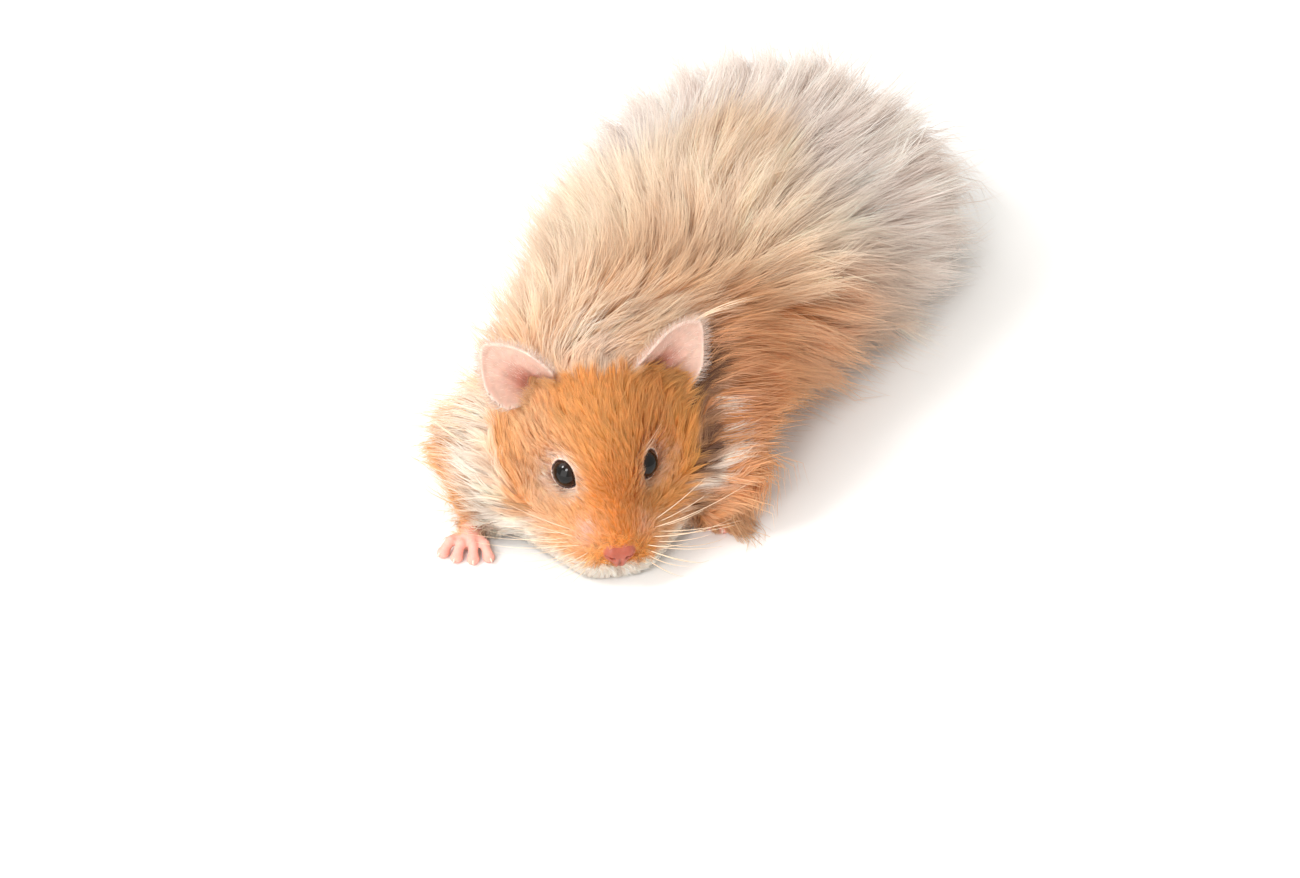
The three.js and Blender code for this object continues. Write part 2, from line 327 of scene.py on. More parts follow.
NOSE = blend([
    *[head_mass((16.5, s * 1.5, -5.9), (2.0, 1.8, 1.8)) for s in (1, -1)],
    head_mass((16.7, 0, -7.9), (1.9, 1.7, 2.9)),
], 1.4)
NOSTRILS = [
    blend([head_mass((18.3, s * 1.45, -6.2), (0.8, 0.42, 0.55)),
           head_mass((17.6, s * 2.35, -6.0), (1.0, 0.8, 0.3))], 0.4)
    for s in (1, -1)
]
GROOVES = [taper(on_head((18.6, 0, -6.6)), on_head((17.2, 0, -12.2)), 0.28, 0.34)]
for s in (1, -1):
    corner = on_head((14.2, s * 3.4, -14.2))
    GROOVES.append(taper(on_head((16.9, 0, -12.4)), corner, 0.3, 0.3))
    GROOVES.append(taper(corner, on_head((8.5, s * 6, -13.6)), 0.3, 0.25))
NOSE_CENTRE = on_head((15, 0, -9))

# An ear is a thin cupped plate whose tip points out and back.
EAR_LENGTH, EAR_WIDTH, EAR_THICKNESS = 15, 13.5, 1.1
EAR_ROOT = (-19.3, 13.5, 8.8)
EAR_TIP = (-23.3, 23.2, 17.8)
EAR_FACES = (0.95, 0.12, 0.3)
EAR_CUP = 0.055
EAR_POINT = 0.38
EAR_EDGE = 0.25  # how far the outline goes from an oval towards a wedge, at the tip
EAR_BASE = 3.2  # how far the plate runs down past its root, into the head
EAR_END = 16  # nothing further along than this belongs to an ear


def ear_frame(side):
    """An ear's root and its axes: across towards the outer edge, along to the tip, and facing."""
    root = on_head(EAR_ROOT, side)
    along = unit(on_head(EAR_TIP, side) - root)
    facing = head_way(EAR_FACES, side)
    facing = unit(facing - (facing @ along) * along)
    return root, np.cross(along, facing) * side, along, facing


EAR_FRAMES = {side: ear_frame(side) for side in (1, -1)}


def in_ear(p, side):
    """Across, along and ahead of an ear's curved middle sheet, and how far past its outline."""
    root, across, along, facing = EAR_FRAMES[side]
    d = p - root
    a, b, c = d @ across, d @ along, d @ facing
    middle = EAR_LENGTH * 0.42
    half = EAR_LENGTH / 2 + EAR_BASE * (b < middle)
    v = (b - middle) / half
    width = EAR_WIDTH / 2 * (1 - EAR_POINT * np.clip(v, -0.6, 1.2))
    power = 2 - EAR_EDGE * smooth(0, 0.6, v)
    rho = (np.abs(a / width) ** power + np.abs(v) ** power) ** (1 / power)
    low = fade(-0.5, 0.9, v)
    fold = 0.75 * bump(1.9 + 0.12 * b, 0.85, a) * smooth(-1, 1.5, b) * fade(5.5, 9.5, b)
    fold += 0.55 * bump(-2.3, 0.8, a) * smooth(-1, 1, b) * fade(3.5, 7, b)
    sheet = (EAR_CUP + 0.03 * low) * a * a + 0.35 * smooth(0.72, 1.0, rho) + fold
    return a, b, c - sheet, (rho - 1) * 6.3


def ear_form(side):
    rim = EAR_THICKNESS / 2

    def form(p):
        _, _, ahead, outside = in_ear(p, side)
        return np.hypot(np.maximum(outside + rim, 0), ahead) - rim
    return form


EAR_FORMS = {side: ear_form(side) for side in (1, -1)}


def ear_canal(side):
    root, across, along, facing = EAR_FRAMES[side]
    mouth = root + along * 1.6 + facing * 2.6 - across * 0.3
    return taper(mouth, root - along * 3.4 - facing * 0.6, 1.9, 1.1)


EAR_CANALS = {side: ear_canal(side) for side in (1, -1)}


def form(p):
    """The flesh without its small features: what the coat lies on."""
    skull = SKULL(p)
    for centre, _ in EYES.values():
        skull += 0.5 * bump(0, 4.5, distance(p, centre))
    found = fillet(BODY(p), skull, 6)
    for leg in LIMBS:
        found = fillet(found, leg(p), 5)
    return found


def ground(p):
    """The form with its feet and the bulge of its lids: what each hair is laid along."""
    found = form(p)
    for foot, middle, reach in FOOT_FORMS:
        near = distance(p, middle) < reach
        found[near] = fillet(found[near], foot(p[near]), 1.2)
    for side in (1, -1):
        centre, axis = EYES[side]
        far = distance(p, centre)
        near = far < 13.5
        socket = np.linalg.norm(p[near] - centre - 10 * axis, axis=1) - 9.1
        local = carve(found[near], socket, 2.5)
        found[near] = fillet(local, far[near] - (EYE_RADIUS + LID_THICKNESS), 1.4)
    return found


def flesh(p):
    """The whole flesh, with ears, lids, nose, mouth and toes."""
    found = ground(p)
    for side in (1, -1):
        centre = EAR_FRAMES[side][0] + EAR_FRAMES[side][2] * 5
        near = distance(p, centre) < 14
        q = p[near]
        local = fillet(found[near], EAR_FORMS[side](q), 2.2)
        found[near] = carve(local, EAR_CANALS[side](q), 0.8)
        near = distance(p, EYES[side][0]) < 7
        q = p[near]
        outside, far = lid_gap(q, side)
        rim = np.hypot(outside - 0.12, far - EYE_RADIUS - 0.2) - 0.22
        opening = np.maximum(outside, EYE_RADIUS - 0.4 - far)
        found[near] = np.maximum(fillet(found[near], rim, 0.3), -opening)
    near = distance(p, NOSE_CENTRE) < 12
    q = p[near]
    local = fillet(found[near], NOSE(q), 0.9)
    for hole in NOSTRILS:
        local = carve(local, hole(q), 0.25)
    for groove in GROOVES:
        local = carve(local, groove(q), 0.5)
    found[near] = local
    return found


# ------------------------------------------------------------------ meshes

def grid_lines(start, *spans):
    """Grid lines from a start through spans of (end, spacing)."""
    lines = [start]
    for end, spacing in spans:
        low = lines[-1]
        count = max(1, round((end - low) / spacing))
        lines += [low + (end - low) * (i + 1) / count for i in range(count)]
    return np.array(lines)


CORNERS = [np.array((i, j, k)) for i in (0, 1) for j in (0, 1) for k in (0, 1)]


def field_on(form, xs, ys, zs):
    value = np.empty((len(xs), len(ys), len(zs)), np.float32)
    yz = np.stack(np.meshgrid(ys, zs, indexing="ij"), -1).reshape(-1, 2)
    slab = 12
    for start in range(0, len(xs), slab):
        part = xs[start:start + slab]
        p = np.empty((len(part) * len(yz), 3))
        p[:, 0] = np.repeat(part, len(yz))
        p[:, 1:] = np.tile(yz, (len(part), 1))
        value[start:start + slab] = form(p).reshape(len(part), len(ys), len(zs))
    return value


def crossings(value, lines, cells):
    """The mean place where the form's surface cuts the edges of each given cell."""
    total, count = np.zeros((len(cells), 3)), np.zeros(len(cells))
    for axis in range(3):
        for near in CORNERS:
            if near[axis]:
                continue
            a, b = cells + near, cells + near
            b[:, axis] += 1
            va, vb = value[tuple(a.T)], value[tuple(b.T)]
            cross = (va < 0) != (vb < 0)
            share = np.where(cross, va / np.where(cross, va - vb, 1), 0)[:, None]
            pa = np.stack([lines[i][a[:, i]] for i in range(3)], 1)
            pb = np.stack([lines[i][b[:, i]] for i in range(3)], 1)
            total[cross] += (pa + (pb - pa) * share)[cross]
            count[cross] += 1
    return total / count[:, None]


def surface_nets(form, *lines):
    """The form's surface as vertices and outward quads, one vertex in each cell it crosses."""
    value = field_on(form, *lines)
    inside = value < 0
    cells = [len(line) - 1 for line in lines]
    full = np.zeros(cells, np.int8)
    for near in CORNERS:
        full += inside[tuple(slice(n, n + c) for n, c in zip(near, cells))]
    active = (full > 0) & (full < 8)
    where = np.argwhere(active)
    number = np.full(active.shape, -1, np.int32)
    number[active] = np.arange(len(where))
    quads = []
    for axis, b, c in ((0, 1, 2), (1, 2, 0), (2, 0, 1)):
        one, two = [slice(1, -1)] * 3, [slice(1, -1)] * 3
        one[axis], two[axis] = slice(0, -1), slice(1, None)
        start, end = inside[tuple(one)], inside[tuple(two)]
        for leaving, turned in ((start & ~end, False), (~start & end, True)):
            edge = np.argwhere(leaving)
            edge[:, b] += 1
            edge[:, c] += 1
            ring = []
            for step_b, step_c in ((-1, -1), (0, -1), (0, 0), (-1, 0)):
                cell = edge.copy()
                cell[:, b] += step_b
                cell[:, c] += step_c
                ring.append(number[tuple(cell.T)])
            ring = np.stack(ring, 1)
            quads.append(ring[:, ::-1] if turned else ring)
    return crossings(value, lines, where), np.concatenate(quads)


def settle(form, points, rounds, reach=0.6):
    """Moves points onto the form's surface."""
    for _ in range(rounds):
        grad = slope_of(form, points, 0.05)
        move = form(points) / np.maximum(dot(grad, grad), 0.2)
        points = points - np.clip(move, -reach, reach)[:, None] * grad
    return points


def new_object(name, points, faces):
    """A smooth mesh object from layout points and faces that all have the same sides."""
    mesh = bpy.data.meshes.new(name)
    sides = faces.shape[1]
    mesh.vertices.add(len(points))
    mesh.vertices.foreach_set("co", to_frame(points).astype(np.float32).ravel())
    mesh.loops.add(faces.size)
    mesh.loops.foreach_set("vertex_index", faces.astype(np.int32).ravel())
    mesh.polygons.add(len(faces))
    mesh.polygons.foreach_set("loop_start", np.arange(0, faces.size, sides, dtype=np.int32))
    mesh.update(calc_edges=True)
    mesh.polygons.foreach_set("use_smooth", np.ones(len(faces), bool))
    thing = bpy.data.objects.new(name, mesh)
    bpy.context.collection.objects.link(thing)
    return thing


def read(data, name, width, kind=np.float32):
    """One row of numbers for each item of a mesh's data."""
    found = np.empty(len(data) * width, kind)
    data.foreach_get(name, found)
    return found.reshape(-1, width)


def store(thing, name, values):
    """Keeps a number or a colour for each vertex, for the materials to read."""
    mesh = thing.data
    if values.ndim == 1:
        mesh.attributes.new(name, "FLOAT", "POINT").data.foreach_set(
            "value", values.astype(np.float32))
        return
    colours = np.ones((len(values), 4), np.float32)
    colours[:, :3] = values
    mesh.attributes.new(name, "FLOAT_COLOR", "POINT").data.foreach_set("color", colours.ravel())


# ------------------------------------------------------------------ the markings

def tint(red, green, blue):
    """A colour given as it looks on a screen, from 0 to 255, in linear light."""
    c = np.array([red, green, blue]) / 255
    return np.where(c < 0.04045, c / 12.92, ((c + 0.055) / 1.055) ** 2.4)


ORANGE = tint(236, 171, 84)
DEEP_ORANGE = tint(228, 145, 44)
PALE_ORANGE = tint(246, 202, 154)
PEACH = tint(247, 214, 184)
CREAM = tint(250, 230, 207)
TAN = tint(228, 179, 120)
BROWN_ORANGE = tint(236, 178, 122)
DEEP_TAN = tint(214, 148, 94)
WHITE = tint(252, 243, 234)
ASH = tint(240, 226, 222)
GREY_BROWN = tint(124, 86, 64)
DARK_BROWN = tint(118, 78, 54)
PINK = tint(238, 174, 160)
ROSE = tint(176, 92, 72)
EAR_PALE = tint(222, 188, 172)
EAR_RIM = tint(232, 206, 192)
MUZZLE_PINK = tint(244, 206, 190)
# pale round the eyes: partly the real pale ring, partly painted light lifting the shade round them
PALE_RING_AND_LIGHT = tint(252, 230, 218)

# Lines over the head, in its own axes: the white bands behind the cheeks and the dark flashes
# within them.
BAND_RIGHT = [(-24, -26.3, -6.6), (-13.4, -28.8, -6.1), (-4, -27.9, -7.4), (2.6, -24.6, -11.8),
              (7.3, -19.3, -12)]
BAND_LEFT = [(-11, 29.5, 3.9), (-8, 30.2, 1.5), (-4.6, 30.4, -1.9), (0.2, 26.8, -3.5),
             (2.8, 23.2, -5.3), (5.4, 19.5, -6.5), (9.3, 15.8, -7.9), (14.6, 12.3, -8.3)]
FLASH_RIGHT = [(-17.6, -25.4, -3.4), (-11, -25.6, -1.3), (-5.3, -24.8, -0.7)]
FLASH_LEFT = [(-26, 26.5, 7.4), (-18, 24.6, 6.7), (-12.9, 23.6, 6), (-9, 24.4, 4.3),
              (-5.2, 24, 2.7), (-2.5, 23.8, 0.5), (1, 22, -1.5)]
# In the layout's axes: the fur over the left forepaw, and a line down the right foreleg.
HIDDEN_PAW = np.array([25.0, -46.0, 3.0])
ARM = [(-40, -53, 19), (-38.5, -62, 13), (-31, -73, 6)]
# The edge of the orange: how far out from the head's middle, for places along it.
CHEEK_EDGE = ((-22, 21), (-15, 23), (-8, 23), (-3, 22), (3, 20.5), (7, 17), (11, 13.5),
              (16, 9), (20, 6))


def far_from(line, q):
    """The distance from points to a line through several places."""
    line = np.array(line, float)
    found = np.full(len(q), 1e9)
    for a, b in zip(line[:-1], line[1:]):
        share = np.clip((q - a) @ (b - a) / ((b - a) @ (b - a)), 0, 1)
        found = np.minimum(found, np.linalg.norm(q - a - share[:, None] * (b - a), axis=1))
    return found


def paint(colour, share, over):
    return over + (colour - over) * np.clip(share, 0, 1)[:, None]


def markings(p):
    """The coat's colour in its depth, and at its tips."""
    q = in_head(p)
    f, l, u = q.T
    out = np.abs(l)
    x, y, z = p.T
    wide = np.abs(x + 2)
    root = np.tile(CREAM, (len(p), 1))

    def put(colour, share):
        root[:] = paint(colour, share, root)

    put(TAN, 0.85 * bump(-20, 20, y) * (0.35 + 0.65 * smooth(-26, -6, x)))
    put(TAN, 0.5 * bump(36, 20, y) * bump(-3, 17, x))
    low_flank = smooth(12, 24, wide) * fade(-4, 50, y) * fade(24, 36, z)
    put(BROWN_ORANGE, low_flank * np.where(x > 0, 0.95, 0.3))
    ring = np.hypot((x + 3) / 1.05, (y - 22) / 1.15)
    rear = smooth(11, 22, ring) * smooth(12, 36, y)
    rear = np.maximum(rear, smooth(16, 32, wide) * smooth(-2, 50, y))
    put(ASH, rear)
    put(WHITE, fade(2.5, 7, z) * fade(14, 22, wide) * (x < 14))
    # the neck, the shoulders and the arms
    neck = fade(-42, -32, y)
    put(PALE_ORANGE, neck * 0.7)
    shoulder = smooth(12, 20, x) * fade(-22, -6, y)
    put(BROWN_ORANGE, shoulder)
    put(DEEP_TAN, 0.7 * bump(-38, 14, y) * smooth(8, 15, x) * smooth(14, 24, z))
    nape = bump(-28.5, 4.5, f) * bump(0.5, 8, l) * smooth(2, 8, u)
    put(WHITE, 0.8 * nape)
    put(PEACH, bump(-22.5, 3.5, f) * bump(0.5, 7.5, l) * smooth(4, 9, u))
    put(DARK_BROWN, 0.6 * bump(-20.5, 3, f) * bump(2.2, 2.6, l) * smooth(4, 9, u))
    arm = bump(0, 5.5, far_from(ARM, p))
    put(ORANGE, 0.9 * arm)
    paw = bump(0, 11, distance(p, HIDDEN_PAW))
    put(BROWN_ORANGE, paw)
    # the head
    edge = np.interp(f, *np.array(CHEEK_EDGE).T)
    cheek = fade(-1.2, 0.8, out - edge + (l > 0))
    head = smooth(-17.6, -14.8, f - 0.22 * np.maximum(out - 8, 0) * (u < 12)) * cheek
    head = np.maximum(head, smooth(-25, -20, f) * smooth(9, 12, out) * cheek * fade(4, 9, u))
    head = np.maximum(head, smooth(-22, -18.5, f) * smooth(7, 10, out) * cheek * smooth(2, 6, u))
    head *= smooth(-11.5, -8.8, u - 0.1 * out + 1.6)
    put(ORANGE, head)
    # paler sides of the head, far more on its right: partly their own paler colour, partly painted
    # light on the side that faces the key light
    side_pale_and_lit = head * bump(14, 6.5, out) * fade(6, 15, u) * np.where(l > 0, 0.1, 0.85)
    put(PALE_ORANGE, side_pale_and_lit)
    put(DEEP_ORANGE, head * 0.7 * bump(0, 4.2, l) * smooth(-3, 8, f))
    put(DEEP_ORANGE, head * 0.5 * bump(11, 4, l) * bump(0, 7, f) * smooth(-3, 1, u))
    put(DEEP_ORANGE, head * 0.35 * bump(-15, 2.6, f) * bump(0, 12, l))
    below = fade(-11.6, -9.6, u) * smooth(-30, -20, f) * fade(0, 3, out - edge)
    put(WHITE, below * np.where(l > 0, fade(14, 18, l), 1) * (1 - paw))
    put(WHITE, bump(0, 5.4, far_from(BAND_RIGHT, q)))
    flash = fade(1.5, 4.6, far_from(FLASH_LEFT, q))
    put(GREY_BROWN, flash * (1 - 0.8 * head))
    put(WHITE, 0.9 * fade(0.9, 3, far_from(BAND_LEFT, q)))
    put(GREY_BROWN, 0.22 * bump(0, 1.3, far_from(FLASH_RIGHT, q)))
    pads = smooth(6, 10.5, out) * smooth(5, 10, f) * fade(-5, -1, u)
    put(PALE_ORANGE, 0.75 * pads)
    patch = bump(12.5, 3, f) * bump(6.8, 2.4, out) * bump(-2.5, 3.2, u)
    put(MUZZLE_PINK, patch * np.where(l > 0, 0.5, 1))
    lips = smooth(13, 16, f) * fade(-10.2, -8.4, u) * fade(11, 14, out)
    put(WHITE, lips)
    put(WHITE, smooth(2, 12, f) * fade(-12.5, -10, u) * fade(15, 19, out))
    for side in (1, -1):
        # a paler ring round each eye, stronger round the right one: partly its own pale ring,
        # partly painted light lifting the shade round the eye
        ring = bump(0.5, 2.2, from_lids(p, side)) * (0.9 if side < 0 else 0.45)
        put(PALE_RING_AND_LIGHT, ring)
    pale = 0.38 + 0.46 * rear + 0.08 * neck
    pale = pale * (1 - 0.7 * head) * (1 - 0.6 * shoulder) * (1 - 0.6 * arm)
    pale *= 1 - 0.9 * flash
    tip = root + (WHITE - root) * pale[:, None]
    tip = paint(WHITE, 0.35 * bump(0, 3.5, far_from(BAND_LEFT, q)), tip)
    return root, tip


# ------------------------------------------------------------------ the skin

fine, near, wide = ((0.33, 0.42, 1.7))
XS = grid_lines(-46, (-29, wide), (-9, near), (19, fine), (32, near), (46, wide))
YS = grid_lines(-88, (-82, near), (-56, fine), (-28, near), (86, wide))
ZS = grid_lines(-1.5, (0, near), (25, fine + 0.02), (45, near), (46, 1))


HEAD_ENDS = -30  # the body behind this is thinned out


def thin_out(thing, share):
    """Joins the small faces of the body, which the coat hides, into fewer and larger ones."""
    group = thing.vertex_groups.new(name="hidden")
    y = read(thing.data.vertices, "co", 3)[:, 1] * 1000 - OFFSET[1]
    group.add(np.flatnonzero(y > HEAD_ENDS).tolist(), 1.0, "REPLACE")
    fewer = thing.modifiers.new("fewer", "DECIMATE")
    fewer.ratio = share
    fewer.vertex_group = group.name
    fewer.use_collapse_triangulate = True
    bpy.context.view_layer.objects.active = thing
    bpy.ops.object.modifier_apply(modifier=fewer.name)
    thing.vertex_groups.clear()


MOST_SKIN_FACES = 190000  # triangles
skin_points, skin_faces = surface_nets(flesh, XS, YS, ZS)
skin_points = settle(flesh, skin_points, 3)
skin = new_object("skin", skin_points, skin_faces)
thin_out(skin, min(0.95, MOST_SKIN_FACES / (2 * len(skin_faces))))
skin_points = read(skin.data.vertices, "co", 3).astype(float) * 1000 - OFFSET
skin_points = settle(flesh, skin_points, 1)
skin_points[:, 2] = np.maximum(skin_points[:, 2], 0.0)
skin.data.vertices.foreach_set("co", to_frame(skin_points).astype(np.float32).ravel())
skin_faces = read(skin.data.loops, "vertex_index", 1, np.int32).reshape(-1, 3)
skin_normals = unit(slope_of(flesh, skin_points, 0.05))
face_places = skin_points[skin_faces].mean(1)


def nearness(form, points, reach):
    return fade(0, reach, form(points))


def skin_parts(points):
    """How far each point belongs to the ears, the feet, the nose and the lids, from 0 to 1."""
    ear = np.zeros(len(points))
    for side in (1, -1):
        along = in_ear(points, side)[1]
        ear = np.maximum(ear, nearness(EAR_FORMS[side], points, 0.5) * (along < EAR_END))
    foot = np.zeros(len(points))
    for foot_shape, middle, reach in FOOT_FORMS:
        near_by = distance(points, middle) < reach
        foot[near_by] = nearness(foot_shape, points[near_by], 0.6)
    nose = nearness(NOSE, points, 0.45)
    lids = fade(0.25, 0.5, from_both_lids(points))
    return {"ear": ear, "foot": foot, "nose": nose, "lids": lids}


parts = skin_parts(skin_points)
flesh_colour = markings(skin_points)[0] * 0.8 + PINK * 0.12
flesh_colour = paint(EAR_PALE, parts["ear"], flesh_colour)
inner_ear = np.zeros(len(skin_points))
for side in (1, -1):
    a, b, ahead, outside = in_ear(skin_points, side)
    inner_ear = np.maximum(inner_ear, (ahead > 0) * bump(0.4, 3.4, a) * bump(1.5, 4.6, b))
    rim = parts["ear"] * smooth(-0.9, -0.3, outside) * (outside < 1) * (np.abs(ahead) < 2)
    flesh_colour = paint(EAR_RIM, rim, flesh_colour)
flesh_colour = paint(ROSE, 0.75 * parts["ear"] * inner_ear, flesh_colour)
flesh_colour = paint(PINK, parts["foot"], flesh_colour)
flesh_colour = paint(ROSE, parts["nose"], flesh_colour)
for side in (1, -1):
    # the skin round each eye painted paler: partly its own pale ring, partly painted light lifting
    # the shade round the eye
    by_eye = fade(1, 4.5, from_lids(skin_points, side))
    flesh_colour = paint(PALE_RING_AND_LIGHT, 0.8 * by_eye, flesh_colour)
flesh_colour = paint(tint(70, 42, 36), parts["lids"], flesh_colour)
store(skin, "tint", flesh_colour)
store(skin, "moist", np.maximum(parts["nose"], parts["lids"]))
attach(skin, "root")
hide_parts("head", "neck", "chest", "abdomen", "rump", "tail", "nose",
            "ear_right", "ear_left",
            "foreleg_right", "foreleg_left", "hindleg_right", "hindleg_left",
            "forepaw_right", "forepaw_left", "hindfoot_right", "hindfoot_left")


def unwrap(thing):
    """Opens the skin flat, with no two of its faces on the same place."""
    thing.data.uv_layers.new(name="OFBake")
    bpy.context.view_layer.objects.active = thing
    thing.select_set(True)
    bpy.ops.object.mode_set(mode="EDIT")
    bpy.ops.mesh.select_all(action="SELECT")
    bpy.ops.uv.smart_project(angle_limit=math.radians(66), island_margin=0.002)
    bpy.ops.object.mode_set(mode="OBJECT")
    thing.select_set(False)
    return read(thing.data.uv_layers["OFBake"].uv, "vector", 2).reshape(-1, 3, 2)


skin_flat = unwrap(skin)

# ------------------------------------------------------------------ how the coat lies

SWIRLS = [(rng.normal(size=3) / 13, rng.uniform(0, 6.28)) for _ in range(5)]


def swirl(p):
    """A slow wander from about -1 to 1 over the body."""
    return sum(np.sin(p @ way + phase) for way, phase in SWIRLS) / 2.4


NOSE_TIP = on_head((18, 0, -7))
BACK_OF_HIPS = np.array([0.0, 34.0, 12.0])


def comb(p):
    """The way the hair runs, before it is laid along the surface."""
    h = in_head(p)
    from_nose = unit(p - NOSE_TIP)
    head = unit(from_nose * 0.9 - FORWARD * 0.55 - UP * 0.25 * (h[:, 2:] < -6))
    body = np.zeros_like(p)
    body[:, 0] = 0.02 * (p[:, 0] + 2)
    body[:, 1] = 1
    body[:, 2] = -np.where(p[:, 0] > -2, 0.75, 0.5) * smooth(9, 26, np.abs(p[:, 0] + 2))
    away = unit(p - BACK_OF_HIPS)
    away[:, 2] -= 0.7 * smooth(54, 70, p[:, 1])
    hind = smooth(38, 62, p[:, 1])[:, None]
    body = unit(body) * (1 - 0.75 * hind) + away * 0.75 * hind
    fore = fade(-44, -34, p[:, 1]) * fade(16, 28, p[:, 2])
    fore *= smooth(17, 24, np.abs(p[:, 0] + 2))
    left = p[:, 0] > 0
    low = fade(9, 17, p[:, 2])
    outward = np.stack([np.where(left, 0.75 - 0.3 * low, -0.9),
                        np.where(left, 0.45 - 0.85 * low, -0.05),
                        np.where(left, -0.5 - 0.3 * low, -0.35)], 1)
    body = body * (1 - fore[:, None]) + outward * fore[:, None]
    share = smooth(-30, -18, h[:, 0])[:, None] * fade(21, 27, np.abs(h[:, 1]))[:, None]
    way = unit(head * share + body * (1 - share))
    for band, fanned in ((BAND_LEFT, (0.8, 0.45, -0.4)), (BAND_RIGHT, (-0.85, -0.1, -0.5))):
        ruff = 0.85 * fade(3, 10, far_from(band, h))[:, None]
        way = way * (1 - ruff) + np.array(fanned) * ruff
    for side in (1, -1):
        # the hair parts round the eye and climbs in front of the ear
        centre, axis = EYES[side]
        ring = unit(p - centre - ((p - centre) @ axis)[:, None] * axis)
        way = way + 0.6 * fade(0.3, 2.5, from_lids(p, side))[:, None] * ring
        _, along, ahead, past = in_ear(p, side)
        by_ear = fade(0, 3, past) * bump(0, 4.5, ahead) * smooth(-6, -2, along)
        _, _, upward, facing = EAR_FRAMES[side]
        lean = upward + 0.5 * np.sign(ahead)[:, None] * facing
        way = way * (1 - by_ear[:, None]) + lean * by_ear[:, None]
    return unit(way)


def habit(p, n):
    """Each root's hair length, width, density, clumping, stand, and how wild it grows."""
    f, l, u = in_head(p).T
    out = np.abs(l)
    x, y, z = p.T
    head = smooth(-27, -19, f) * fade(22, 26, out)
    face_length = 2.2 + 3.2 * fade(-2, 11, f) + 5.0 * fade(-20, -9, f)
    face_length += 4.2 * smooth(9, 19, out) * fade(3, 11, f)
    body_length = 12 + 5 * smooth(-35, 0, y) + 7 * smooth(28, 58, y) + 3 * smooth(14, 26, np.abs(x))
    body_length += 2.5 * smooth(18, 45, y) * smooth(6, 20, -x)
    low = fade(3, 11, z) * smooth(-38, -30, y)
    body_length = body_length * (1 - 0.25 * low)
    arm = fade(-52, -44, y) * fade(-24, -18, x)
    body_length = body_length * (1 - 0.28 * arm)
    body_length *= 1 - 0.6 * smooth(66, 72, y)
    under = smooth(0.35, 0.8, -n[:, 2])
    body_length = body_length * (1 - 0.55 * under)
    length = body_length * (1 - head) + face_length * head
    furless = np.zeros(len(p))
    for name, (_, middle, reach) in zip(FEET, FOOT_FORMS):
        far = distance(p, middle)
        hidden = name != "forepaw_right"
        ankle = 1 - (smooth(2, 4, far) if hidden else smooth(3.2, 6, far))
        length = length * (1 - ankle) + (5 if hidden else 2.4) * ankle
        heel, knuckles = np.array(FEET[name][:2])
        ahead = unit(knuckles - heel)
        past = (p[:, :2] - knuckles) @ ahead
        on_foot = smooth(0.2, 0.7, form(p))
        furless = np.maximum(furless, (far < reach) * on_foot * smooth(-0.8, 1.2, past))
    for side in (1, -1):
        _, _, ahead, past = in_ear(p, side)
        length = length * (1 - 0.45 * fade(0, 3, past) * bump(1.5, 3, ahead) * (ahead > 0))
    bare = skin_parts(p)
    eyes = from_both_lids(p)
    length = np.minimum(length, 0.6 + np.maximum(eyes, 0) * 1.0)
    density = 6.2 + 15.5 * head * smooth(-24, -12, f)
    density *= 1 + 0.6 * fade(2, 5, eyes)
    density *= 1 - 0.65 * under * (1 - head)
    bald = bare["ear"] * 3 + bare["nose"] + furless + 1 - smooth(0.3, 0.5, eyes)
    density *= 1 - np.clip(bald, 0, 1)
    wild = smooth(13.5, 17, f) * fade(5, 8, out) * smooth(-11, -9, u)
    return {
        "length": length,
        "width": 0.11 + 0.075 * smooth(3, 12, length),
        "density": density,
        "clump": 0.2 + 0.06 * smooth(4, 12, length) + 0.16 * head,
        "stand": 0.12 + 0.38 * smooth(34, 66, y) + 0.14 * smooth(16, 30, np.abs(x)) * (1 - head)
        + 0.25 * arm + 0.6 * wild,
        "wild": wild,
    }


edges = skin_points[skin_faces[:, 1:]] - skin_points[skin_faces[:, :1]]
skin_areas = np.linalg.norm(np.cross(edges[:, 0], edges[:, 1]), axis=1) / 2


def scatter(count, density):
    """Roots on the skin: places, normals and places on the unwrap."""
    weight = np.cumsum(skin_areas * density)
    pick = np.searchsorted(weight, (np.arange(count) + rng.random(count)) / count * weight[-1])
    pick = np.minimum(pick, len(weight) - 1)
    s, t = np.sqrt(rng.random(count)), rng.random(count)
    shares = np.stack([1 - s, s * (1 - t), s * t], 1)
    places = np.einsum("ij,ijk->ik", shares, skin_points[skin_faces[pick]])
    normals = unit(np.einsum("ij,ijk->ik", shares, skin_normals[skin_faces[pick]]))
    flat = np.einsum("ij,ijk->ik", shares, skin_flat[pick])
    return places, normals, flat


def amount(density):
    return int((skin_areas * density).sum())


def outer_tree():
    """The coat's outer form, which says how far above the skin the hair may rise."""
    places, faces = [], []
    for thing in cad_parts.values():
        base = len(places)
        places += [v.co.copy() for v in thing.data.vertices]
        faces += [[base + i for i in p.vertices] for p in thing.data.polygons]
    return BVHTree.FromPolygons(places, faces)


OUTER = outer_tree()
HIGHEST = 0.04  # metres: from where the outer form is looked for, above the skin
THINNEST_COAT, DEEPEST_COAT = 0.4, 22


def room_over(places, normals):
    """How far the coat's outer form lies above each root, in millimetres."""
    found = np.full(len(places), 1.0)
    for i, (place, normal) in enumerate(zip(to_frame(places), normals)):
        way = Vector(normal)
        hit = OUTER.ray_cast(Vector(place) + way * HIGHEST, -way, HIGHEST)
        if hit[0] is not None:
            found[i] = (HIGHEST - hit[3]) * 1000
    return np.clip(found, THINNEST_COAT, DEEPEST_COAT)


